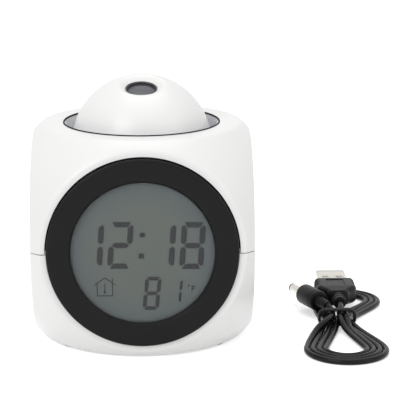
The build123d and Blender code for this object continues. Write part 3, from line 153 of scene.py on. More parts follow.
def surface(name, base, rough, grain_mm, grain_high_mm, cloud_mm=14.0, cloud=0.04, second=None, **sockets):
    """A material with a fine relief; a wide noise varies its roughness and blends in any second colour."""
    material = bpy.data.materials.new(name)
    material.use_nodes = True
    tree = material.node_tree
    shader = tree.nodes["Principled BSDF"]
    place = add_node(tree, "TexCoord").outputs["Object"]
    fine = add_node(tree, "TexNoise", {"Vector": place, "Scale": 1 / (grain_mm * MM), "Detail": 3.0})
    height = {"Height": fine.outputs["Fac"], "Distance": grain_high_mm * MM, "Strength": 1.0}
    relief = add_node(tree, "Bump", height)
    wide = add_node(tree, "TexNoise", {"Vector": place, "Scale": 1 / (cloud_mm * MM), "Detail": 4.0})
    spread = {"Value": wide.outputs["Fac"], "From Min": NOISE_LOW, "From Max": NOISE_HIGH}
    gloss = add_node(tree, "MapRange", {**spread, "To Min": rough - cloud, "To Max": rough + cloud})
    tree.links.new(relief.outputs["Normal"], shader.inputs["Normal"])
    tree.links.new(gloss.outputs["Result"], shader.inputs["Roughness"])
    if second:
        shades = {"Factor": wide.outputs["Fac"], "A": colour(base), "B": colour(second)}
        blend = add_node(tree, "Mix", shades, data_type="RGBA")
        tree.links.new(blend.outputs["Result"], shader.inputs["Base Color"])
    else:
        shader.inputs["Base Color"].default_value = colour(base)
    for socket, value in sockets.items():
        shader.inputs[socket.replace("_", " ")].default_value = value
    return material


# ABS moulded in a polished tool: white right through, a soft gloss and a very faint orange peel
white_abs = surface("white_abs_polished", "#f1f1f0", 0.3, 2.5, 0.0012, cloud=0.02, second="#efefee", IOR=1.52)
# ABS moulded in a finely eroded tool: black, satin, with a fine even grain
black_abs = surface(
    "black_abs_satin", "#171717", 0.36, 0.25, 0.006, second="#141415", Specular_IOR_Level=0.14
)
textured_abs = surface("black_abs_eroded", "#2a2a2b", 0.5, 0.3, 0.02, second="#252526", IOR=1.52)
# ABS with aluminium flake: grey and a little metallic
grey_abs = surface("grey_abs_metallic", "#dcdde0", 0.24, 0.2, 0.004, second="#d0d1d5", Metallic=0.4)
key_abs = surface("grey_abs_keys", "#5b5b5e", 0.42, 0.25, 0.01, second="#555558", IOR=1.52)
inner_black = surface("black_abs_inside", "#151516", 0.55, 0.3, 0.01)
# dark grey ABS with a satin finish, on the ring that holds the lens
retainer_abs = surface("dark_grey_abs_ring", "#3d3d40", 0.42, 0.3, 0.006, second="#38383b")
# nickel on brass: warm and bright, with faint drawing marks
nickel = surface(
    "nickel_plate", "#dedbd4", 0.24, 0.4, 0.001, cloud_mm=3.0, cloud=0.06, second="#d3cfc7", Metallic=1.0
)
zinc_steel = surface("zinc_plated_steel", "#a9abae", 0.35, 0.2, 0.002, second="#9d9fa3", Metallic=1.0)
# soft PVC: black, slightly shiny, slightly uneven from the extruder
pvc_cord = surface(
    "black_pvc_sheath", "#101011", 0.26, 0.8, 0.006, 6.0, 0.05, second="#151516", Specular_IOR_Level=0.16
)
pvc_moulded = surface(
    "black_pvc_moulded", "#151516", 0.36, 0.3, 0.008, 5.0, second="#121213", Specular_IOR_Level=0.16
)
rubber = surface("black_rubber", "#161617", 0.6, 0.3, 0.01, Specular_IOR_Level=0.2)
plug_white = surface("ivory_insert", "#e4e0d6", 0.45, 0.3, 0.004, second="#dcd8cc")
green_board = surface("green_solder_mask", "#1d5a35", 0.35, 0.4, 0.01, second="#184d2c")
cell_jacket = surface("printed_cell_jacket", "#3a3f47", 0.3, 0.4, 0.002, second="#2f333a", Metallic=0.6)
ribbon_grey = surface("grey_ribbon_cable", "#b5b5b6", 0.5, 0.3, 0.004)
wire_red = surface("red_wire_sheath", "#a3231d", 0.4, 0.4, 0.004)
zebra_pink = surface("pink_silicone_strip", "#c78f8c", 0.6, 0.3, 0.004)
paper_cone = surface("black_paper_cone", "#202022", 0.8, 0.4, 0.03, second="#28282a")
clear_acrylic = surface(
    "clear_acrylic", "#eef2f4", 0.06, 3.0, 0.0005, cloud=0.02, Transmission_Weight=1.0, IOR=1.49
)
# the clear lens drawn as an opaque grey: painted reflection of the studio, over the dark barrel that shows
# through it
lens_painted_grey = surface(
    "lens_painted_reflection_grey", "#494b50", 0.32, 3.0, 0.0005, cloud=0.02, second="#45474b", IOR=1.49
)
red_epoxy = surface("red_epoxy_lamp", "#c02018", 0.1, 2.0, 0.001, Transmission_Weight=0.6)

# hard-coated acrylic in front of the display: nearly clear, it only adds a faint gloss
window_acrylic = surface(
    "coated_acrylic_window", "#dfe4e2", 0.12, 2.0, 0.0005, cloud=0.02, IOR=1.49, Alpha=0.025
)
# ink of a driven liquid crystal segment: dark, neutral and flat
lcd_ink = surface(
    "lcd_segment", "#28282b", 0.6, 0.3, 0.002, cloud_mm=8.0, second="#2b2b2f", Specular_IOR_Level=0.12
)

EDGE_SHADE_START = 0.6  # share of the window's radius where the painted edge shade begins
EDGE_SHADE_SHARE = 0.55  # how much of the painted shade there is at the very edge


def display_material():
    """Reflective liquid crystal cell: grey-green, with a cooler, darker painted shade towards its round edge,
    under the bezel's lip.
    """
    material = surface(
        "reflective_lcd", "#616763", 0.5, 0.12, 0.002, 20.0, second="#5e6460", Specular_IOR_Level=0.12
    )
    tree = material.node_tree
    shader = tree.nodes["Principled BSDF"]
    place = add_node(tree, "TexCoord").outputs["Object"]
    to_middle = (0.0, CASE_HALF_WIDTH * MM, -CENTRE_Z * MM)
    middle = add_node(tree, "Mapping", {"Vector": place, "Location": to_middle})
    away = add_node(tree, "VectorMath", {0: middle.outputs["Vector"]}, operation="LENGTH")
    # painted shade: from this radius out, the cell's colour turns cooler and darker towards the bezel
    reach = {"From Min": EDGE_SHADE_START * WINDOW_R * MM, "From Max": WINDOW_R * MM}
    fade = {"Value": away.outputs["Value"], **reach, "To Min": 0.0, "To Max": EDGE_SHADE_SHARE}
    edge_shade = add_node(tree, "MapRange", fade, interpolation_type="SMOOTHSTEP")
    flat = shader.inputs["Base Color"].links[0].from_socket
    shades = {"Factor": edge_shade.outputs["Result"], "A": flat, "B": colour("#566066")}
    blend = add_node(tree, "Mix", shades, data_type="RGBA")
    tree.links.new(blend.outputs["Result"], shader.inputs["Base Color"])
    return material


reflective_lcd = display_material()

# ------------------------------------------------------------------ meshes


def piece(name, points, faces, body, slot, material, replaces=(), sharp=35.0):
    """A mesh object from points in mm: shared points are merged, and edges past an angle stay sharp."""
    points = np.round(np.asarray(points, float).reshape(-1, 3), 5)
    kept, index = np.unique(points, axis=0, return_inverse=True)
    index = index.reshape(-1)
    clean = []
    for face in faces:
        ring = list(dict.fromkeys(index[np.asarray(face)].tolist()))
        if len(ring) > 2:
            clean.append(ring)
    mesh = bpy.data.meshes.new(name)
    mesh.from_pydata((kept * MM).tolist(), [], clean)
    mesh.polygons.foreach_set("use_smooth", np.ones(len(mesh.polygons), bool))
    mesh.set_sharp_from_angle(angle=radians(sharp))
    mesh.materials.append(material)
    made = bpy.data.objects.new(name, mesh)
    bpy.context.scene.collection.objects.link(made)
    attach(made, body)
    if replaces:
        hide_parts(*replaces)
    return made


def grid_faces(rows, columns):
    """Quads between neighbouring rows of a grid of points; the last column joins the first."""
    row, column = np.meshgrid(np.arange(rows - 1), np.arange(columns), indexing="ij")
    after = (column + 1) % columns
    low, high = row * columns, (row + 1) * columns
    quads = np.stack([low + column, low + after, high + after, high + column], axis=-1)
    return quads.reshape(-1, 4).tolist()


ARC_STEPS = 5


def rounded(corners):
    """A closed profile whose corners (r, h, round) are arcs: each arc is tangent to both of its sides."""
    count = len(corners)
    line = []
    for i, (x, y, size) in enumerate(corners):
        here = np.array((x, y))
        if size == 0:
            line.append(here)
            continue
        before = np.array(corners[i - 1][:2]) - here
        after = np.array(corners[(i + 1) % count][:2]) - here
        before, after = before / np.linalg.norm(before), after / np.linalg.norm(after)
        half = np.arccos(np.clip(before @ after, -1, 1)) / 2
        bisector = (before + after) / np.linalg.norm(before + after)
        centre = here + bisector * size / sin(half)
        first = here + before * size / tan(half) - centre
        last = here + after * size / tan(half) - centre
        turn = np.arctan2(first[0] * last[1] - first[1] * last[0], first @ last)
        for share in np.linspace(0, 1, ARC_STEPS + 1):
            c, s = cos(turn * share), sin(turn * share)
            line.append(centre + np.array((c * first[0] - s * first[1], s * first[0] + c * first[1])))
    return np.array(line)


def flipped(faces):
    """The same faces, seen from the other side."""
    return [face[::-1] for face in faces]


def solid_of_turning(profile, origin, axis, across, segments):
    """A closed profile of (radius, height) carried round an axis, with its faces made to point outwards:
    origin + r cos(a) across + r sin(a) side + h axis."""
    origin, axis, across = (np.array(v, float) for v in (origin, axis, across))
    side = np.cross(axis, across)
    profile = np.asarray(profile, float)
    r, h = profile.T
    outwards = np.sum(r * np.roll(h, -1) - np.roll(r, -1) * h) < 0
    profile = np.vstack([profile, profile[:1]])
    angle = np.arange(segments) * 2 * pi / segments
    ring = np.cos(angle)[:, None] * across + np.sin(angle)[:, None] * side
    points = origin + profile[:, 0, None, None] * ring + profile[:, 1, None, None] * axis
    faces = grid_faces(len(profile), segments)
    return points.reshape(-1, 3), faces if outwards else flipped(faces)


def stack(*shapes):
    """Several (points, faces) as one: each shape's faces count on from the points before it."""
    points, faces, start = [], [], 0
    for shape_points, shape_faces in shapes:
        points.append(shape_points)
        faces += [[corner + start for corner in face] for face in shape_faces]
        start += len(shape_points)
    return np.vstack(points), faces


def tube_of_rings(rings):
    """Closed rings of points joined in order, and each end closed by a fan to its own middle."""
    rows, columns = rings.shape[:2]
    points = np.vstack([rings.reshape(-1, 3), rings[0].mean(axis=0), rings[-1].mean(axis=0)])
    first, last = rows * columns, rows * columns + 1
    top = (rows - 1) * columns
    column = np.arange(columns)
    after = (column + 1) % columns
    low = np.stack([np.full(columns, first), after, column], axis=-1)
    high = np.stack([np.full(columns, last), top + column, top + after], axis=-1)
    return points, grid_faces(rows, columns) + low.tolist() + high.tolist()


CAD_SHARP = 28.0  # degrees past which an edge of a CAD mesh stays sharp


def smoothed(node, material):
    """The CAD node's own mesh with its loose triangles joined and its curved faces shaded smooth."""
    mesh = frame["nodes"][node].data
    points = np.empty(len(mesh.vertices) * 3)
    mesh.vertices.foreach_get("co", points)
    points = points.reshape(-1, 3) / MM
    faces = np.empty(len(mesh.loops), int)
    mesh.loops.foreach_get("vertex_index", faces)
    body = body_of(frame["nodes"][node])[0]
    faces = faces.reshape(-1, 3)
    return piece(node + "_finish", points, faces, body, SLOTS[node], material, (node,), CAD_SHARP)


SLOTS = {part["node"]: part["material_slot"] for part in frame["record"]["subparts"]}
FRONT_AT = (0.0, -CASE_HALF_WIDTH, CENTRE_Z)
FRONT_OUT = (0.0, -1.0, 0.0)
BALL_AXIS = (0.0, -sin(BALL_TILT), cos(BALL_TILT))
BALL_AT = (0.0, 0.0, BALL_Z)

# ------------------------------------------------------------------ power lead

NEAR_LOBE = (0.0, -34.6, 15.3)  # x, y and radius of the outer turn's centre line
FAR_LOBE = (6.2, 30.5, 14.0)
TURN_STEP = 2.45
NEAR_SWEEP = (158, 382)  # degrees that a turn runs through in each lobe
FAR_SWEEP = (-24, 204)
LOBE_POINTS = 9
TIE_LOW, TIE_HIGH = 2.4, 4.85  # heights of the two layers of cord inside the tie
SETTLED = 0.45  # share of the way across that a run has gone at its first point outside the tie


def lobe(centre, turn, sweep):
    """Control points of one turn's arc on the floor, set outwards so that the spline has its radius."""
    start_angle, end_angle = sweep
    radius = centre[2] - TURN_STEP * turn
    angle = np.radians(np.linspace(start_angle, end_angle, LOBE_POINTS))
    out = radius / cos(radians((end_angle - start_angle) / (LOBE_POINTS - 1) / 2))
    x, y = centre[0] + out * np.cos(angle), centre[1] + out * np.sin(angle)
    return np.stack([x, y, np.full(LOBE_POINTS, CORD_R)], axis=1)


def through_tie(x, height, near_x, far_x, beside, beyond, towards):
    """Control points through the tie: the height and the place across it settle over about 10 mm each way."""
    stations = [
        (near_x, -12.5, beyond),
        (x + SETTLED * (near_x - x), -6.5, beside),
        (x, -1.6, height),
        (x, 1.6, height),
        (x + SETTLED * (far_x - x), 6.0, beside),
        (far_x, 11.5, beyond),
    ]
    return np.array(stations if towards == "far" else stations[::-1])


def lead_route():
    """The cord's control points: four turns round the near lobe, three round the far one, and two tails."""
    floor = CORD_R
    # x and height at the tie, x on its near and far side, heights beside the tie and beyond
    going = [
        (4.8, TIE_LOW, 8.6, 10.4, 1.7, floor),
        (2.4, TIE_LOW, 6.2, 8.0, 1.6, floor),
        (3.3, TIE_HIGH, 3.9, 5.5, 3.6, 2.0),
    ]
    coming = [
        (-4.8, TIE_LOW, -7.6, -6.6, 1.7, floor),
        (-2.4, TIE_LOW, -4.9, -3.9, 1.6, floor),
        (0.0, TIE_LOW, -2.3, -1.2, 1.6, floor),
    ]
    parts = [
        np.array([(-3.3, 5.6, 6.7), (-2.6, 4.0, 6.6), (-1.9, 1.9, 5.4), (-1.7, -0.6, TIE_HIGH)]),
        np.array([(-3.3, -5.2, 4.9), (-7.4, -11.0, 4.3), (-10.9, -16.5, 2.3)]),
    ]
    for turn, (out, back) in enumerate(zip(going, coming)):
        parts.append(lobe(NEAR_LOBE, turn, NEAR_SWEEP))
        parts.append(through_tie(*out, "far"))
        parts.append(lobe(FAR_LOBE, turn, FAR_SWEEP))
        parts.append(through_tie(*back, "near"))
    parts.append(lobe(NEAR_LOBE, len(going), NEAR_SWEEP))
    parts.append(np.array([(2.4, -14.0, 2.0), (1.1, -7.5, 3.9), (0.9, -1.6, TIE_HIGH)]))
    parts.append(np.array([(1.2, 2.4, 5.3), (2.2, 6.6, 6.3), (2.3, 10.9, 6.3)]))
    return np.vstack(parts) + (LEAD_X, LEAD_Y, 0.0)


route = lead_route()
cord_data = bpy.data.curves.new("power_cord", "CURVE")
cord_data.dimensions = "3D"
cord_data.bevel_depth = CORD_R * MM
cord_data.bevel_resolution = 5
cord_data.resolution_u = 6
cord_data.use_fill_caps = True
spline = cord_data.splines.new("NURBS")
spline.points.add(len(route) - 1)
spline.points.foreach_set("co", np.hstack([route * MM, np.ones((len(route), 1))]).ravel())
spline.order_u = 3
spline.use_endpoint_u = True
cord_data.materials.append(pvc_cord)
power_cord = bpy.data.objects.new("power_cord", cord_data)
bpy.context.scene.collection.objects.link(power_cord)
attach(power_cord, "case")
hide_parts("power_lead_hank")

# ------------------------------------------------------------------ front display

BOARD_FRONT = -5.7
BOSS_R = 2.6
BOSS_BORE_R = 0.95
BOSS_X = 24.501
WINDOW_LIP = 1.0  # width and depth of the slope from the bezel's face down to the window


def on_front(x, up):
    """A point of the case's front: x to the right and up from the display's middle."""
    return np.array((x, -CASE_HALF_WIDTH, CENTRE_Z + up))


bezel_ring = rounded(
    [
        (BEZEL_FLANGE_R, BEZEL_BACK, 0.2),
        (BEZEL_FLANGE_R, -WALL, 0.2),
        (BEZEL_R, -WALL, 0),
        (BEZEL_R, BEZEL_PROUD, 0.9),
        (WINDOW_R + WINDOW_LIP, BEZEL_PROUD, 0.3),
        (WINDOW_R, BEZEL_PROUD - WINDOW_LIP, 0.3),
        (WINDOW_R, 0.0, 0),
        (GLASS_R + SEAT_CLEAR, 0.0, 0),
        (GLASS_R + SEAT_CLEAR, BEZEL_BACK, 0),
    ]
)
boss = [(BOSS_BORE_R, BOARD_FRONT), (BOSS_R, BOARD_FRONT), (BOSS_R, BEZEL_BACK), (BOSS_BORE_R, BEZEL_BACK)]
piece(
    "bezel_ring",
    *stack(
        solid_of_turning(bezel_ring, FRONT_AT, FRONT_OUT, (1, 0, 0), 192),
        *[
            solid_of_turning(boss, on_front(x, up), FRONT_OUT, (1, 0, 0), 32)
            for x in (-BOSS_X, BOSS_X)
            for up in (-BOSS_X, BOSS_X)
        ],
    ),
    "case",
    "bezel_black",
    black_abs,
    ["display_bezel"],
)
pane = rounded([(0, -WINDOW_THICK, 0), (GLASS_R, -WINDOW_THICK, 0.1), (GLASS_R, 0, 0.1), (0, 0, 0)])
piece(
    "window_pane",
    *solid_of_turning(pane, FRONT_AT, FRONT_OUT, (1, 0, 0), 128),
    "case",
    "clear_window",
    window_acrylic,
    ["display_window"],
)

SLANT = 0.054
MARK_TURN = radians(-0.7)
MARK_THICK = 0.05

# strokes of a digit in a cell 9.1 mm wide and 18.2 mm tall, with gaps of about 0.35 mm between them
right_upper = np.array([(3.65, 7.98), (4.56, 7.35), (4.56, 1.3), (3.45, 0.38), (2.36, 1.35), (2.36, 6.7)])
top_bar = np.array([(-3.55, 9.1), (3.55, 9.1), (2.4, 7.0), (-2.4, 7.0)])
middle_bar = np.array([(-3.25, 0.0), (-2.2, 1.05), (2.2, 1.05), (3.25, 0.0), (2.2, -1.05), (-2.2, -1.05)])
STROKES = {
    "top": top_bar,
    "right_upper": right_upper,
    "right_lower": right_upper * (1, -1),
    "bottom": top_bar * (1, -1),
    "left_lower": -right_upper,
    "left_upper": right_upper * (-1, 1),
    "middle": middle_bar,
}
DIGITS = {
    "1": ("right_upper", "right_lower"),
    "2": ("top", "right_upper", "middle", "left_lower", "bottom"),
    "8": tuple(STROKES),
}
# digit, middle x and up, scale across and up, slant
SHOWN = [
    ("1", -19.34, 2.77, 1.0, 1.0, SLANT),
    ("2", -8.37, 2.77, 1.0, 1.0, SLANT),
    ("1", 7.66, 2.77, 1.0, 1.0, SLANT),
    ("8", 18.72, 2.77, 1.0, 1.0, SLANT),
    ("8", 3.61, -15.91, 0.68, 0.718, 0.088),
    ("1", 12.66, -15.03, 0.495, 0.536, 0.084),
]


def line_mark(x1, up1, x2, up2, wide=0.4):
    """The outline of a straight line: its two ends, moved sideways by half its width and out by a third."""
    start, end = np.array((x1, up1)), np.array((x2, up2))
    along = (end - start) / np.linalg.norm(end - start)
    side = np.array((-along[1], along[0])) * wide / 2
    start, end = start - along * wide / 3, end + along * wide / 3
    return np.array([start - side, end - side, end + side, start + side])


DISC_POINTS = 16


def disc_mark(x, up, radius):
    """The outline of a dot: points at equal angles round its middle."""
    angle = np.arange(DISC_POINTS) * 2 * pi / DISC_POINTS
    return np.stack([x + radius * np.cos(angle), up + radius * np.sin(angle)], axis=1)


def raised_marks(outlines):
    """Each flat outline as a thin plate on the display's glass: two copies, joined by a strip of quads."""
    shapes = []
    for outline in outlines:
        x, up = outline.T
        if np.sum(x * np.roll(up, -1) - np.roll(x, -1) * up) < 0:
            x, up = x[::-1], up[::-1]
        count = len(x)
        glass_y = -CASE_HALF_WIDTH - LCD_FRONT
        plates = [
            np.stack([x, np.full(count, glass_y - lift), CENTRE_Z + up], axis=1) for lift in (0.0, MARK_THICK)
        ]
        points = np.concatenate(plates)
        column = np.arange(count)
        after = (column + 1) % count
        sides = np.stack([column, after, after + count, column + count], axis=-1).tolist()
        shapes.append((points, sides + [(column + count).tolist(), column[::-1].tolist()]))
    return stack(*shapes)


def turned_marks(outline):
    """An outline turned a little clockwise about the display's middle, as the glass sits in the case."""
    c, s = cos(MARK_TURN), sin(MARK_TURN)
    return outline @ np.array(((c, s), (-s, c)))


marks = []
for digit, x, up, scale_x, scale_up, slant in SHOWN:
    for stroke in DIGITS[digit]:
        outline = STROKES[stroke] * (scale_x, scale_up)
        moved = np.stack([x + slant * outline[:, 1], np.full(len(outline), up)], axis=1)
        marks.append(turned_marks(outline + moved))
marks += [
    # colon
    line_mark(-0.04, 6.64, -0.04, 7.08, 2.05),
    line_mark(-0.55, -1.66, -0.55, -0.96, 2.07),
    # house with a chimney, and a thermometer in it
    line_mark(-18.3, -12.48, -14.34, -9.7),
    line_mark(-14.34, -9.7, -10.12, -12.67),
    line_mark(-17.29, -12.3, -17.29, -16.7),
    line_mark(-17.29, -16.75, -11.46, -16.75),
    line_mark(-11.46, -16.7, -11.46, -12.3),
    line_mark(-11.4, -11.3, -11.4, -9.9),
    line_mark(-14.39, -15.0, -14.39, -11.8, 0.38),
    disc_mark(-14.4, -15.3, 0.52),
    # degrees Fahrenheit
    disc_mark(17.29, -13.09, 0.42),
    line_mark(18.48, -15.2, 18.65, -13.2, 0.48),
    line_mark(18.8, -13.3, 19.85, -13.38, 0.44),
    line_mark(18.75, -14.22, 19.45, -14.25, 0.44),
]
piece("lcd_marks", *raised_marks(marks), "case", "lcd_glass", lcd_ink)

# ------------------------------------------------------------------ projector ball

BALL_ACROSS = (1.0, 0.0, 0.0)
BALL_POST_OUT = 18.5
POST_HIGH = 16.5
POST_BORE_DEEP = 7.6
DISH_LIP_R = 10.8  # where the ball's surface turns into the rounded lip of the dish
BARREL_WALL = 2.2
BARREL_DEEP = 7.0
RING_DEEP = 1.3
RING_CHAMFER = 0.35
LENS_CURVE_R = 20.0
LENS_SET_IN = 0.3
LENS_BACK_DEEP = 3.6
SHADE_RING_DEEP = 1.6
SHADE_RING_PROUD = 0.4

lip_h = sqrt(BALL_R**2 - LENS_DISH_R**2)
outer_angle = np.linspace(0, np.arccos(DISH_LIP_R / BALL_R), 40)
inner_r = BALL_R - BALL_WALL
inner_angle = np.linspace(np.arccos((LENS_HOLE_R + BARREL_WALL) / inner_r), 0, 32)
cap_profile = rounded(
    [(BALL_R * cos(a), BALL_R * sin(a), 0) for a in outer_angle]
    + [
        (LENS_DISH_R, lip_h, 2.4),
        (LENS_HOLE_R, LENS_TOP, 0.4),
        (LENS_HOLE_R, LENS_TOP - BARREL_DEEP, 0),
        (LENS_HOLE_R + BARREL_WALL, LENS_TOP - BARREL_DEEP, 0),
    ]
    + [(inner_r * cos(a), inner_r * sin(a), 0) for a in inner_angle]
)
post = [(BOSS_BORE_R, 0), (BOSS_R, 0), (BOSS_R, POST_HIGH), (0, POST_HIGH)]
post += [(0, POST_BORE_DEEP), (BOSS_BORE_R, POST_BORE_DEEP)]
post_side = np.array((0.0, cos(BALL_TILT), sin(BALL_TILT))) * BALL_POST_OUT
piece(
    "ball_cap_skin",
    *stack(
        solid_of_turning(cap_profile, BALL_AT, BALL_AXIS, BALL_ACROSS, 192),
        *[
            solid_of_turning(post, np.array(BALL_AT) + side * post_side, BALL_AXIS, BALL_ACROSS, 24)
            for side in (-1, 1)
        ],
    ),
    "projector_ball",
    "white_plastic",
    white_abs,
    ["ball_cap"],
)
ring_profile = rounded(
    [
        (LENS_R, LENS_TOP - RING_DEEP, 0),
        (LENS_HOLE_R - SEAT_CLEAR, LENS_TOP - RING_DEEP, 0),
        (LENS_HOLE_R - SEAT_CLEAR, LENS_TOP, 0.15),
        (LENS_R + RING_CHAMFER, LENS_TOP, 0.08),
        (LENS_R, LENS_TOP - RING_CHAMFER, 0.08),
    ]
)
piece(
    "lens_retainer",
    *solid_of_turning(ring_profile, BALL_AT, BALL_AXIS, BALL_ACROSS, 96),
    "projector_ball",
    "inner_black",
    retainer_abs,
    ["lens_ring"],
)
dome_r = np.linspace(0, LENS_R, 20)
dome_h = LENS_TOP - LENS_SET_IN - LENS_CURVE_R + np.sqrt(LENS_CURVE_R**2 - dome_r**2)
lens_back = LENS_TOP - LENS_BACK_DEEP
lens_profile = np.vstack([np.stack([dome_r, dome_h], axis=1), [(LENS_R, lens_back), (0, lens_back)]])
# the lens wears the grey of the painted reflection, not a clear finish
piece(
    "front_lens",
    *solid_of_turning(lens_profile, BALL_AT, BALL_AXIS, BALL_ACROSS, 96),
    "projector_ball",
    "lens_clear",
    lens_painted_grey,
    ["projection_lens"],
)

# a soft black ring on the dish's neck fills the gap round it and stands a little above the case: painted
# shade, a dark ring put where the gap's shadow falls
gap_shade_ring = rounded(
    [
        (NECK_R, CASE_TOP_Z - SHADE_RING_DEEP, 0),
        (WELL_R - SEAT_CLEAR, CASE_TOP_Z - SHADE_RING_DEEP, 0),
        (WELL_R - SEAT_CLEAR, CASE_TOP_Z + SHADE_RING_PROUD, 0.2),
        (NECK_R, CASE_TOP_Z + SHADE_RING_PROUD, 0.2),
    ]
)
piece(
    "well_gap_shade_ring",
    *solid_of_turning(gap_shade_ring, (0, 0, 0), (0, 0, 1), (1, 0, 0), 192),
    "carrier",
    "rubber_black",
    rubber,
)

# ------------------------------------------------------------------ plugs and tie of the lead

DC_TURN = radians(23.6)
DC_AT = (LEAD_X - 3.3, LEAD_Y + 5.6, 6.7)
DC_AXIS = (-sin(DC_TURN), cos(DC_TURN), 0.0)
# lengths along the DC plug from the end of its cord, and its radii
DC_RELIEF = 7.0
DC_GRIP_END = 19.6
DC_BARREL_END = 29.1
DC_TIP_END = 30.1
DC_GRIP_R = 4.2
DC_BARREL_R = 1.75
DC_BORE_R = 0.7
DC_GROOVE = 9.0
DC_GROOVE_DEEP = 0.2

USB_AT = np.array((LEAD_X + 2.3, LEAD_Y + 10.9, 6.3))
USB_RELIEF = 6.6
RELIEF_CORE_R = 2.5
RELIEF_IN_GRIP = 1.0
GRIP_LONG = 18.0
GRIP_EDGE_R = 0.7
GRIP_CORNER_R = 2.0
GRIP_LEAST_FLAT = 0.3
GRIP_STEP = 7.0  # length over which the grip widens
GRIP_HALF_W = (4.25, 8.3)
GRIP_HALF_T = (3.3, 3.8)
RIBS_FROM, RIBS_TO = 8.4, 16.8
RIB_PITCH = 1.05
RIB_DEEP = 0.22
PANEL_FROM, PANEL_TO = 7.2, 16.2
PANEL_DEEP = 0.3
PANEL_RAMP = 0.2
PANEL_SHARE = 0.56  # share of the grip's flat top that the bare panel takes
SHELL_HALF_W = 6.0
SHELL_HALF_T = 2.25
SHELL_CORNER_R = 0.7
SHELL_LONG = 16.0
SHELL_SHEET = 0.3
HOLE_X = (1.75, 4.05)
HOLE_Y = (5.4, 7.6)


def ribbed(low, high, start_r, end_r, ribs, cut):
    """A strain relief's outline: its radius grows evenly, and drops by the cut between two ribs."""
    pitch = (high - low) / ribs
    line = []
    for rib in range(ribs):
        # share of a rib's pitch, and how far the radius drops there
        for share, drop in ((0.0, cut), (0.12, 0.0), (0.66, 0.0), (0.78, cut)):
            h = low + pitch * (rib + share)
            line.append((start_r + (end_r - start_r) * (h - low) / (high - low) - drop, h, 0.12))
    return line


dc_profile = rounded(
    [(0, 0, 0)]
    + ribbed(0.0, DC_RELIEF, start_r=1.84, end_r=2.3, ribs=4, cut=0.35)
    + [
        (2.2, DC_RELIEF, 0),
        (DC_GRIP_R, DC_RELIEF, 0.8),
        (DC_GRIP_R, DC_GROOVE - 2 * DC_GROOVE_DEEP, 0.1),
        (DC_GRIP_R - DC_GROOVE_DEEP, DC_GROOVE - DC_GROOVE_DEEP, 0.1),
        (DC_GRIP_R - DC_GROOVE_DEEP, DC_GROOVE + DC_GROOVE_DEEP, 0.1),
        (DC_GRIP_R, DC_GROOVE + 2 * DC_GROOVE_DEEP, 0.1),
        (DC_GRIP_R, DC_GRIP_END, 0.8),
        (0, DC_GRIP_END, 0),
    ]
)
piece(
    "dc_grip_moulding",
    *solid_of_turning(dc_profile, DC_AT, DC_AXIS, (0, 0, 1), 64),
    "case",
    "cord_black",
    pvc_moulded,
    ["dc_plug_grip"],
)
barrel = rounded(
    [
        (DC_BORE_R, DC_GRIP_END, 0),
        (DC_BARREL_R, DC_GRIP_END, 0),
        (DC_BARREL_R, DC_BARREL_END, 0.05),
        (DC_BORE_R, DC_BARREL_END, 0.05),
    ]
)
piece(
    "dc_barrel_sleeve",
    *solid_of_turning(barrel, DC_AT, DC_AXIS, (0, 0, 1), 48),
    "case",
    "nickel",
    nickel,
    ["dc_plug_barrel"],
)
tip = rounded(
    [
        (DC_BORE_R, DC_BARREL_END, 0),
        (DC_BARREL_R, DC_BARREL_END, 0),
        (DC_BARREL_R, DC_TIP_END, 0.3),
        (DC_BORE_R, DC_TIP_END, 0.25),
    ]
)
piece(
    "dc_tip_ring",
    *solid_of_turning(tip, DC_AT, DC_AXIS, (0, 0, 1), 48),
    "case",
    "inner_black",
    inner_black,
    ["dc_plug_tip"],
)


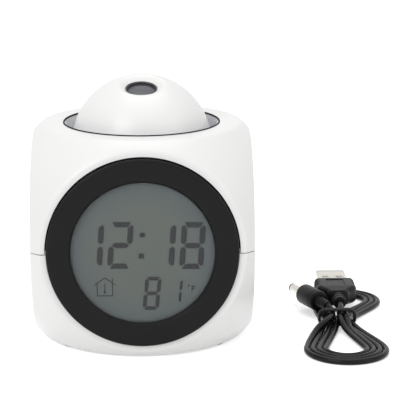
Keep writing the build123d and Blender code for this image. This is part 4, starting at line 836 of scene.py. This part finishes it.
def grip_rings():
    """The USB grip's cross sections: a rounded rectangle whose half width grows from 4.25 to 8.3 mm, and its
    half thickness from 3.3 to 3.8 mm, by a smooth step over 7 mm. Its sides wave 0.22 mm at the finger ribs,
    and its top steps 0.3 mm in at the bare panel."""
    stretches = [np.linspace(0, 8, 25), np.linspace(8, 17, 91), np.linspace(17, GRIP_LONG, 9)]
    along = np.unique(np.round(np.concatenate(stretches), 4))
    step = np.clip(along / GRIP_STEP, 0, 1)
    step = step * step * (3 - 2 * step)
    from_end = np.minimum(along, GRIP_LONG - along)
    rise = np.clip(GRIP_EDGE_R - from_end, 0, GRIP_EDGE_R)
    inset = GRIP_EDGE_R - np.sqrt(np.clip(GRIP_EDGE_R**2 - rise**2, 0, None))
    at_ribs = (along > RIBS_FROM) & (along < RIBS_TO)
    ribs = RIB_DEEP * (0.5 - 0.5 * np.cos(2 * pi * (along - RIBS_FROM) / RIB_PITCH)) * at_ribs
    half_w = GRIP_HALF_W[0] + (GRIP_HALF_W[1] - GRIP_HALF_W[0]) * step - inset - ribs
    half_t = GRIP_HALF_T[0] + (GRIP_HALF_T[1] - GRIP_HALF_T[0]) * step - inset
    flat = np.array([-1, -0.85, -0.7, -0.59, -0.56, -0.3, 0, 0.3, 0.56, 0.59, 0.7, 0.85, 1])
    corner = np.radians(np.linspace(0, 90, 8))[1:-1]
    round_r = np.minimum(GRIP_CORNER_R, np.minimum(half_w, half_t) - GRIP_LEAST_FLAT)
    span, tall = half_w - round_r, half_t - round_r
    # each entry: share of the span, share of the height, and the direction that the corner radius pushes it
    around = [(f, 1, 0, 1) for f in flat]
    around += [(1, 1, sin(a), cos(a)) for a in corner]
    around += [(1, t, 1, 0) for t in (1, 0.5, 0, -0.5, -1)]
    around += [(1, -1, cos(a), -sin(a)) for a in corner]
    around += [(f, -1, 0, -1) for f in flat[::-1]]
    around += [(-1, -1, -sin(a), -cos(a)) for a in corner]
    around += [(-1, t, -1, 0) for t in (-1, -0.5, 0, 0.5, 1)]
    around += [(-1, 1, -cos(a), sin(a)) for a in corner]
    share_x, share_z, push_x, push_z = np.array(around, float).T
    x = span[:, None] * share_x + round_r[:, None] * push_x
    z = tall[:, None] * share_z + round_r[:, None] * push_z
    panel = (np.abs(share_x) <= PANEL_SHARE) & (push_z == 1)
    depth = PANEL_DEEP * np.clip(np.minimum(along - PANEL_FROM, PANEL_TO - along) / PANEL_RAMP, 0, 1)
    z = z - depth[:, None] * panel
    y = np.repeat((USB_RELIEF + along)[:, None], len(around), axis=1)
    return np.stack([x, y, z], axis=-1) + USB_AT


relief_profile = rounded(
    [(0, 0, 0)]
    + ribbed(0.0, USB_RELIEF, start_r=2.6, end_r=2.9, ribs=3, cut=0.6)
    + [
        (RELIEF_CORE_R, USB_RELIEF, 0),
        (RELIEF_CORE_R, USB_RELIEF + RELIEF_IN_GRIP, 0),
        (0, USB_RELIEF + RELIEF_IN_GRIP, 0),
    ]
)
grip_points, grip_polygons = tube_of_rings(grip_rings())
piece(
    "usb_grip_moulding",
    *stack(
        (grip_points, flipped(grip_polygons)),
        solid_of_turning(relief_profile, USB_AT, (0, 1, 0), (1, 0, 0), 48),
    ),
    "case",
    "cord_black",
    pvc_moulded,
    ["usb_plug_grip"],
    sharp=30.0,
)


def shell_sheet():
    """The USB shell's outer skin: a rounded rectangle 12 x 4.5 mm carried 16 mm along the plug. The quads
    between the edges of its four holes, two above and two below, are left out."""
    start = USB_RELIEF + GRIP_LONG
    along = np.array([0, 2.5, *HOLE_Y, 10.5, 13.5, SHELL_LONG])
    flat_x, flat_z = SHELL_HALF_W - SHELL_CORNER_R, SHELL_HALF_T - SHELL_CORNER_R
    flat = np.array([-flat_x, -HOLE_X[1], -HOLE_X[0], 0, *HOLE_X, flat_x])
    corner = np.radians(np.linspace(0, 90, 7))[1:-1]
    bends = [(SHELL_CORNER_R * sin(a), SHELL_CORNER_R * cos(a)) for a in corner]
    section = [(x, SHELL_HALF_T) for x in flat]
    section += [(flat_x + across, flat_z + up) for across, up in bends]
    section += [(SHELL_HALF_W, z) for z in (flat_z, 0, -flat_z)]
    section += [(flat_x + up, -flat_z - across) for across, up in bends]
    section += [(x, -SHELL_HALF_T) for x in flat[::-1]]
    section += [(-flat_x - across, -flat_z - up) for across, up in bends]
    section += [(-SHELL_HALF_W, z) for z in (-flat_z, 0, flat_z)]
    section += [(-flat_x - up, flat_z + across) for across, up in bends]
    section = np.array(section)
    count = len(section)
    points = np.stack(
        [
            np.tile(section[:, 0], len(along)),
            np.repeat(start + along, count),
            np.tile(section[:, 1], len(along)),
        ],
        axis=1,
    )
    faces = []
    for face in grid_faces(len(along), count):
        middle_x, middle_y = points[face].mean(axis=0)[:2]
        over_x = HOLE_X[0] < abs(middle_x) < HOLE_X[1]
        over_y = HOLE_Y[0] < middle_y - start < HOLE_Y[1]
        if not (over_x and over_y):
            faces.append(face)
    return points + USB_AT, flipped(faces)


usb_shell = piece("usb_shell_sheet", *shell_sheet(), "case", "nickel", nickel, ["usb_plug_shell"], sharp=40.0)
folded = usb_shell.modifiers.new("sheet_metal", "SOLIDIFY")
folded.thickness = SHELL_SHEET * MM
folded.offset = -1.0


TIE_SIDES = 24
TIE_HALF_THICK = 0.6
TIE_HALF_WIDE = 1.5
TIE_SQUARENESS = 0.7  # power of sine and cosine in the section: 1 is an ellipse, less is squarer


def tie_rings():
    """The tie: an oval section 3 x 1.2 mm, carried round a rounded rectangle in the XZ plane."""
    half_w, half_t, round_r, middle_z = 7.2, 3.05, 2.4, 3.65
    angle = np.radians(np.linspace(0, 90, 13))
    path, out = [], []
    for corner_x, corner_z, first in ((1, 1, 0), (-1, 1, 90), (-1, -1, 180), (1, -1, 270)):
        turn = angle + radians(first)
        normal = np.stack([np.cos(turn), np.sin(turn)], axis=1)
        bend_at = np.array((corner_x * (half_w - round_r), corner_z * (half_t - round_r)))
        path.append(bend_at + round_r * normal)
        out.append(normal)
    path, out = np.vstack(path), np.vstack(out)
    around = np.arange(TIE_SIDES) * 2 * pi / TIE_SIDES
    thick = TIE_HALF_THICK * np.sign(np.cos(around)) * np.abs(np.cos(around)) ** TIE_SQUARENESS
    wide = TIE_HALF_WIDE * np.sign(np.sin(around)) * np.abs(np.sin(around)) ** TIE_SQUARENESS
    x = path[:, 0, None] + out[:, 0, None] * thick
    z = middle_z + path[:, 1, None] + out[:, 1, None] * thick
    y = np.tile(wide, (len(path), 1))
    return np.stack([x + LEAD_X, y + LEAD_Y, z], axis=-1)


tie = tie_rings()
tie_points = len(tie) * TIE_SIDES
tie_faces = [[corner % tie_points for corner in face] for face in grid_faces(len(tie) + 1, TIE_SIDES)]
piece("tie_band", tie.reshape(-1, 3), flipped(tie_faces), "case", "rubber_black", rubber, ["lead_tie"])

# ------------------------------------------------------------------ finish

CAD_FINISH = {
    "white_plastic": white_abs,
    "bezel_black": black_abs,
    "panel_black": textured_abs,
    "well_grey": grey_abs,
    "key_grey": key_abs,
    "clear_window": window_acrylic,
    "lcd_glass": reflective_lcd,
    "light_guide_acrylic": clear_acrylic,
    "lens_clear": clear_acrylic,
    "lamp_red": red_epoxy,
    "inner_black": inner_black,
    "rubber_black": rubber,
    "cord_black": pvc_moulded,
    "wire_red": wire_red,
    "ribbon_grey": ribbon_grey,
    "conductive_pink": zebra_pink,
    "board_green": green_board,
    "chip_black": inner_black,
    "nickel": nickel,
    "steel": zinc_steel,
    "switch_black": inner_black,
    "cone_black": paper_cone,
    "magnet_steel": zinc_steel,
    "cell_wrap": cell_jacket,
    "plug_white": plug_white,
}
for node_name, node in frame["nodes"].items():
    for material_slot in node.material_slots:
        material_slot.material = CAD_FINISH[SLOTS[node_name]]

SMOOTHED = (
    "upper_shell lower_shell ball_base ball_carrier rear_panel mode_key set_key up_key down_key alarm_key"
    " rubber_feet dc_jack dc_jack_pin case_screws trunnion_pins"
).split()
for node_name in SMOOTHED:
    smoothed(node_name, CAD_FINISH[SLOTS[node_name]])

# the springs and the ball's lead, smoothed, each with a mesh of its own; the heights of their ends on the
# case are listed but not used
for node_name, fixed_z in (("carrier_springs", 60.0), ("projector_lead", 36.0)):
    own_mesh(smoothed(node_name, CAD_FINISH[SLOTS[node_name]]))

# ------------------------------------------------------------------ light and floor

AIM_AT = Vector((0.02, 0.0, 0.045))
FLOOR_HALF = 3.0


def open_view(tree):
    """1 for a ray that shows the studio, straight, off a gloss or through a clear piece, and 0 otherwise."""
    path = add_node(tree, "LightPath").outputs
    direct = add_node(tree, "Math", {0: path["Is Camera Ray"], 1: path["Is Glossy Ray"]}, operation="MAXIMUM")
    return add_node(
        tree, "Math", {0: direct.outputs[0], 1: path["Is Transmission Ray"]}, operation="MAXIMUM"
    ).outputs[0]


world = bpy.data.worlds.new("studio")
world.use_nodes = True
bpy.context.scene.world = world
tree = world.node_tree
tree.nodes.clear()
seen = open_view(tree)
shade = add_node(tree, "Background", {"Color": colour("#ffffff"), "Strength": 0.5})
plain = add_node(tree, "Background", {"Color": colour("#ffffff"), "Strength": 1.0})
mixed = add_node(tree, "MixShader", {0: seen, 1: shade.outputs[0], 2: plain.outputs[0]})
add_node(tree, "OutputWorld", {"Surface": mixed.outputs[0]})

for name, at, size, power in (
    ("key_light", (-0.6, -0.75, 0.7), 0.6, 3.9),
    ("fill_light", (0.8, -0.6, 0.5), 0.7, 1.5),
    ("top_light", (0.05, 0.1, 1.0), 0.8, 3.25),
):
    lamp_data = bpy.data.lights.new(name, "AREA")
    lamp_data.size = size
    lamp_data.energy = power
    lamp = bpy.data.objects.new(name, lamp_data)
    aim = AIM_AT - Vector(at)
    lamp.matrix_world = Matrix.Translation(at) @ aim.to_track_quat("-Z", "Y").to_matrix().to_4x4()
    bpy.context.scene.collection.objects.link(lamp)

floor_mesh = bpy.data.meshes.new("floor")
floor_corners = [(x * FLOOR_HALF, y * FLOOR_HALF, 0) for x, y in ((-1, -1), (1, -1), (1, 1), (-1, 1))]
floor_mesh.from_pydata(floor_corners, [], [(0, 1, 2, 3)])
floor_material = bpy.data.materials.new("white_paper_floor")
floor_material.use_nodes = True
tree = floor_material.node_tree
shader = tree.nodes["Principled BSDF"]
shader.inputs["Base Color"].default_value = colour("#fafafa")
shader.inputs["Roughness"].default_value = 0.9
glow = add_node(tree, "MapRange", {"Value": open_view(tree), "To Max": 0.5})
tree.links.new(glow.outputs["Result"], shader.inputs["Emission Strength"])
shader.inputs["Emission Color"].default_value = colour("#ffffff")
floor_mesh.materials.append(floor_material)
floor = bpy.data.objects.new("floor", floor_mesh)
bpy.context.scene.collection.objects.link(floor)

bpy.context.scene.view_settings.view_transform = "Standard"
